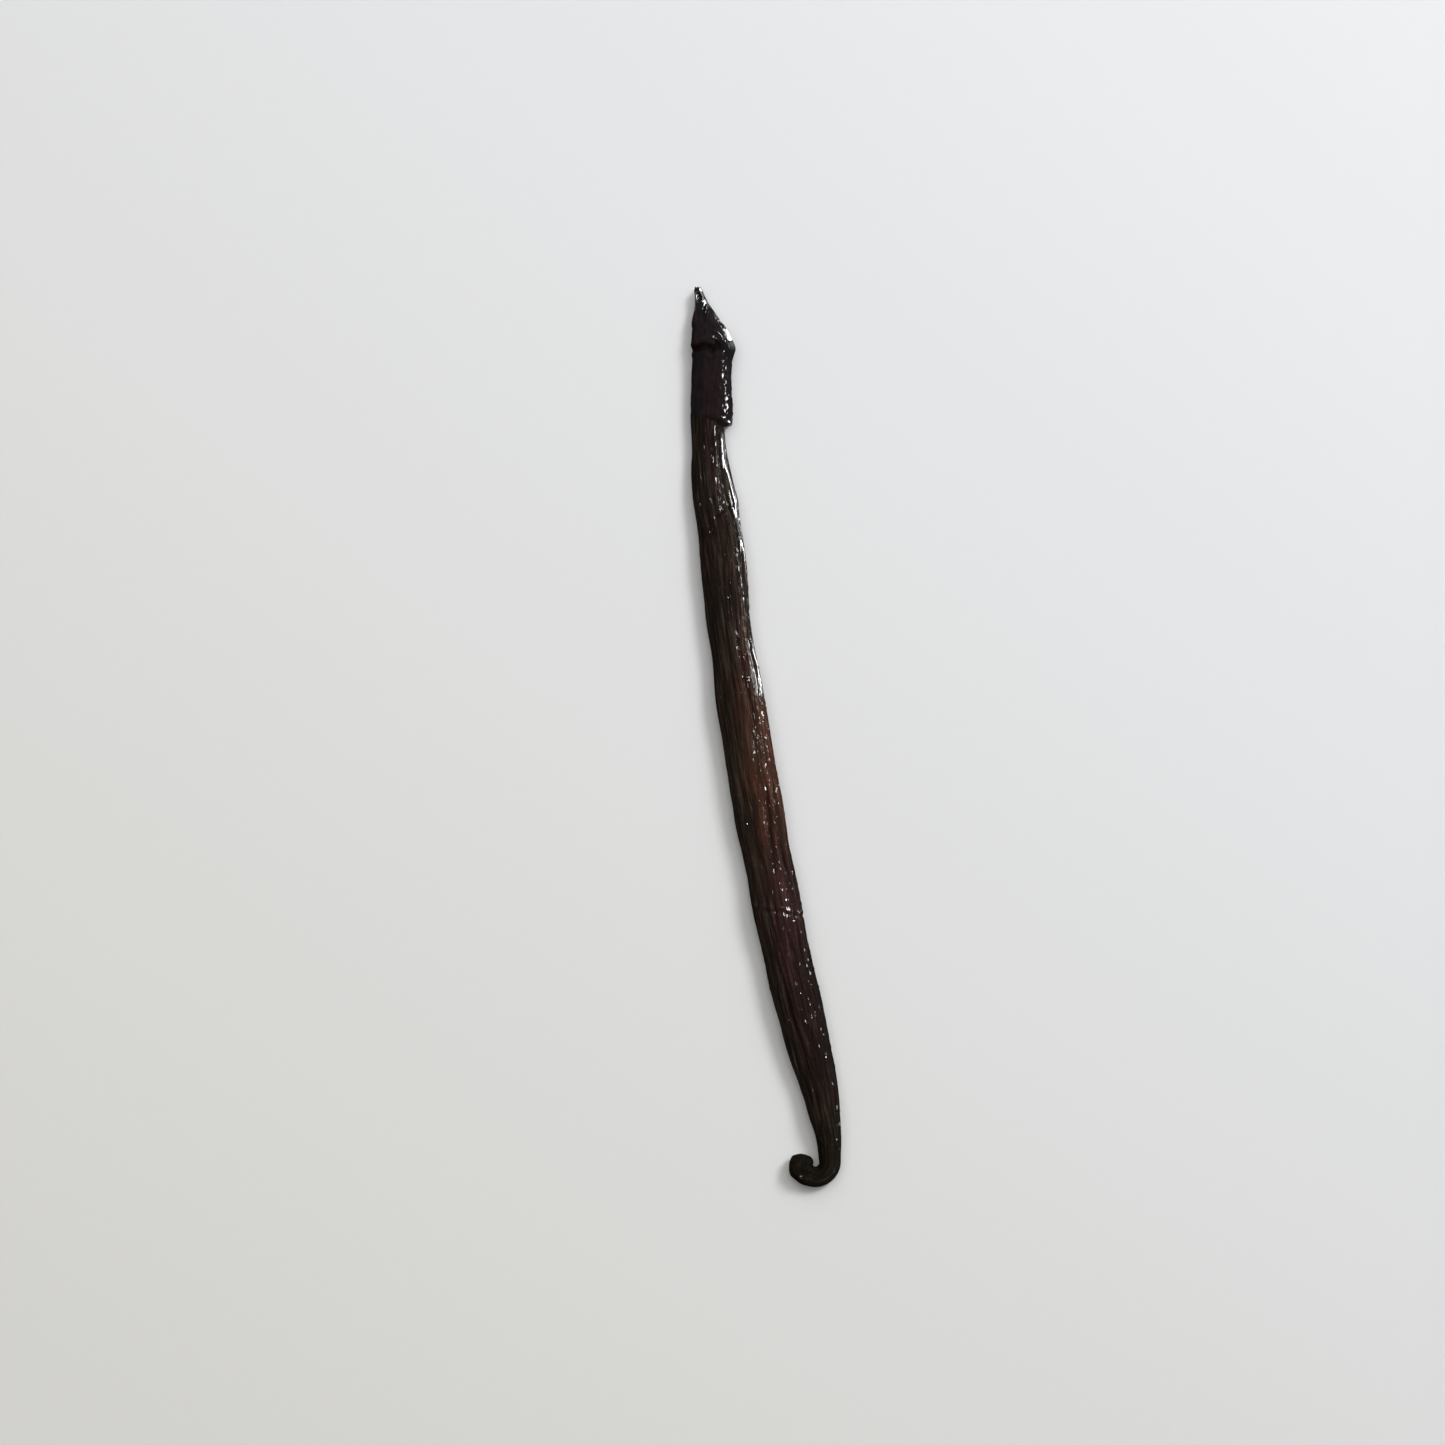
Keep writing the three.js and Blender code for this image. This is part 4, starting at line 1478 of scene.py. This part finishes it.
def make_skin_finish(name, values):
    material = bpy.data.materials.new(name)
    material.use_nodes = True
    tree = material.node_tree
    tree.nodes.clear()
    straight = attribute(tree, "straight", "Vector")
    masks = {mask: attribute(tree, mask) for mask in SKIN_MASKS}
    grain_node = add(tree, "ShaderNodeGroup", {"node_tree": grain_group}, Straight=straight,
                     Bead_cover=masks["beads"])
    grain_node.inputs["Streak depth"].default_value = values["streak_depth"]
    grain_node.inputs["Bead height"].default_value = BEAD_HEIGHT
    grain_node.inputs["Crack depth"].default_value = CRACK_DEPTH * values["crack_share"]
    grain = grain_node.outputs
    mottle = noise_texture(tree, straight, *values["blotch"], detail=4.0)

    dashes = map_value(tree, noise_texture(tree, straight, *OIL_GRAIN), *OIL_EDGES)
    beaded = map_value(tree, grain["Beads"], 0.0, FULL_BEAD)
    coat = larger(tree, larger(tree, times(tree, masks["oil"], dashes), beaded), masks["wet"])
    calm = minus(tree, 1.0, times(tree, masks["wet"], WET_SMOOTHS))
    bump = add(tree, "ShaderNodeBump", Strength=1.0, Distance=MM,
               Height=times(tree, grain["Height"], calm)).outputs["Normal"]

    colour = skin_colour(tree, grain, mottle, masks, values)
    roughness = map_value(tree, mottle, 0.3, 0.7, *SKIN_ROUGHNESS)
    shader = add(tree, "ShaderNodeBsdfPrincipled", Base_Color=colour, Roughness=roughness,
                 Coat_Weight=coat, Normal=bump, Coat_Normal=bump)
    shader.inputs["Specular IOR Level"].default_value = MATT_SHEEN
    shader.inputs["Coat Roughness"].default_value = OIL_ROUGHNESS
    shader.inputs["Coat IOR"].default_value = OIL_REFRACTION
    add(tree, "ShaderNodeOutputMaterial", Surface=shader.outputs["BSDF"])
    return material


print(len(SKIN_MASKS), "masks steer the finish")

# %% The two finishes
FINISHES = {
    "oily pod skin": {
        "streak_depth": 0.1, "crack_share": 0.62, "rib_light": 2.0, "blotch_light": 1.0,
        "blotch": (2.6, 8), "pale": OLIVE_BROWN, "dark": PLUM_BROWN,
    },
    "older collar skin": {
        "streak_depth": 0.05, "crack_share": 0.15, "rib_light": 1.2, "blotch_light": 1.15,
        "blotch": (2.2, 3), "pale": COLLAR_SLATE, "dark": COLLAR_PLUM,
    },
}
for name, values in FINISHES.items():
    finish = make_skin_finish(name, values)
    pod.data.materials.append(finish)
    print("finish", finish.name, "with", len(finish.node_tree.nodes), "nodes")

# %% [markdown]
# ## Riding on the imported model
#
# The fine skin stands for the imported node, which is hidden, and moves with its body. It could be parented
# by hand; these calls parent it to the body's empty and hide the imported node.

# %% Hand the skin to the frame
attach(pod, "root")
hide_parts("pod")

# %% [markdown]
# ## Table
#
# A plain pale table, so wide that its edge lies far outside any view from above. Its colour shifts slightly
# from a warm to a cool white across the view: a painted tint of the window's light, as on a matt board
# beside a window.

# %% Table
TABLE_SIDE = 10.0
TABLE_COOL_LIGHT_TINT = (0.795, 0.80, 0.815, 1)
TABLE_WARM_LIGHT_TINT = (0.80, 0.795, 0.765, 1)
TABLE_SHIFT = (-0.22, 0.18)  # metres on the diagonal between which warm turns into cool
TABLE_GAP = 0.00002  # keeps the table just clear of the pod's flat underside


def make_table():
    half = TABLE_SIDE / 2
    corners = [(-half, -half, 0), (half, -half, 0), (half, half, 0), (-half, half, 0)]
    mesh = bpy.data.meshes.new("table")
    mesh.from_pydata(corners, [], [(0, 1, 2, 3)])
    made = bpy.data.objects.new("table", mesh)
    material = bpy.data.materials.new("matt pale table")
    material.use_nodes = True
    tree = material.node_tree
    shader = tree.nodes["Principled BSDF"]
    place = add(tree, "ShaderNodeTexCoord").outputs["Object"]
    cloud = add(tree, "ShaderNodeTexNoise", Vector=place, Scale=4.0, Detail=2.0).outputs["Fac"]
    across = add(tree, "ShaderNodeSeparateXYZ", Vector=place).outputs
    diagonal = plus(tree, plus(tree, across["X"], across["Y"]), times(tree, cloud, 0.05))
    hue = map_value(tree, diagonal, *TABLE_SHIFT)
    tree.links.new(mix_colours(tree, hue, TABLE_WARM_LIGHT_TINT, TABLE_COOL_LIGHT_TINT), shader.inputs["Base Color"])
    shader.inputs["Roughness"].default_value = 0.6
    shader.inputs["Specular IOR Level"].default_value = 0.2
    mesh.materials.append(material)
    bpy.context.scene.collection.objects.link(made)
    return made


table = make_table()
table.location.z = -TABLE_GAP
table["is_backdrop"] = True
print("table", TABLE_SIDE, "m wide")

# %% [markdown]
# ## Light
#
# Three soft panels light the pod, and the room itself is dim. The window and the overhead fill light the
# colour only, and they aren't seen in reflections, so that the oily black stays black. The third panel
# is the window's sheen: it is seen in reflections only, and draws the highlights. In this way the
# colour and the gloss can each be set without changing the other.

# %% Light
VIEW_ROLL = 8.0  # degrees that the view is turned, so that the pod leans in it
PANEL_DISTANCE = 1.5
# (name, bearing, height, width, length, power, colour, whether only reflections see it)
PANELS = [
    ("window", 42, 44, 0.4, 0.45, 11, (0.97, 0.985, 1.0), False),
    ("overhead fill", 90, 60, 2.2, 2.2, 21.8, (1.0, 0.99, 0.97), False),
    ("window sheen", 26, 30, 1.85, 0.55, 142, (0.96, 0.98, 1.0), True),
]
ROOM_LIGHT = (0.085, 0.085, 0.088, 1)


def aim(thing, target):
    """Turns a light or camera so that it looks at a point."""
    away = thing.location - target
    thing.rotation_euler = away.to_track_quat("Z", "Y").to_euler()


def add_panel(name, bearing, height, width, length, power, colour, sheen_only):
    """A rectangular light. Bearing is in degrees in the view, from right round to up; height too."""
    lamp = bpy.data.lights.new(name, "AREA")
    lamp.shape = "RECTANGLE"
    lamp.size, lamp.size_y = width, length
    lamp.energy = power
    lamp.color = colour
    made = bpy.data.objects.new(name, lamp)
    turn = math.radians(bearing - VIEW_ROLL)
    rise = math.radians(height)
    flat = PANEL_DISTANCE * math.cos(rise)
    made.location = (flat * math.cos(turn), flat * math.sin(turn), PANEL_DISTANCE * math.sin(rise))
    aim(made, Vector((0, 0, 0)))
    made.visible_glossy = sheen_only
    made.visible_diffuse = not sheen_only
    bpy.context.scene.collection.objects.link(made)


for panel in PANELS:
    add_panel(*panel)
world = bpy.data.worlds.new("dim room")
world.use_nodes = True
room = world.node_tree.nodes["Background"].inputs
room["Color"].default_value = ROOM_LIGHT
room["Strength"].default_value = 1.0
bpy.context.scene.world = world
bpy.context.scene.view_settings.view_transform = "Standard"

# %% [markdown]
# ## Camera
#
# The camera looks straight down on the table from two thirds of a metre. The picture is 1445 pixels
# square, and the blossom end's tip has a fixed pixel in it, which places everything else.

# %% Camera
PICTURE_SIDE = 1445
TIP_PIXEL = (697.5, 288.0)
MM_PER_PIXEL = 0.185
CAMERA_DISTANCE = 650.0
SHARP_HEIGHT = 2.5  # height of the pod's outline above the table
SENSOR = 36.0


def add_camera():
    right = (PICTURE_SIDE / 2 - TIP_PIXEL[0]) * MM_PER_PIXEL
    up = -(PICTURE_SIDE / 2 - TIP_PIXEL[1]) * MM_PER_PIXEL
    turn = math.radians(-VIEW_ROLL)
    x = shift[0] + right * math.cos(turn) - up * math.sin(turn)
    y = shift[1] + right * math.sin(turn) + up * math.cos(turn)
    lens = bpy.data.cameras.new("above")
    lens.sensor_width = SENSOR
    lens.lens = SENSOR * CAMERA_DISTANCE / (PICTURE_SIDE * MM_PER_PIXEL)
    made = bpy.data.objects.new("above", lens)
    made.location = (x * MM, y * MM, (CAMERA_DISTANCE + SHARP_HEIGHT) * MM)
    made.rotation_euler = (0, 0, turn)
    bpy.context.scene.collection.objects.link(made)
    bpy.context.scene.camera = made
    return made


camera = add_camera()
print("camera", [round(v, 4) for v in camera.location], "lens", round(camera.data.lens, 1))

# %% [markdown]
# ## Sizes, and the end
#
# The dressed pod should fill the same box as the imported one, so both boxes are printed.

# %% Sizes and finish
boxes = {"cad": [list(corner) for corner in cad_box], "visual": [list(corner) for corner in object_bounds()]}
for name, box in boxes.items():
    print(name, "box in mm:", [[round(v / MM, 2) for v in corner] for corner in box])
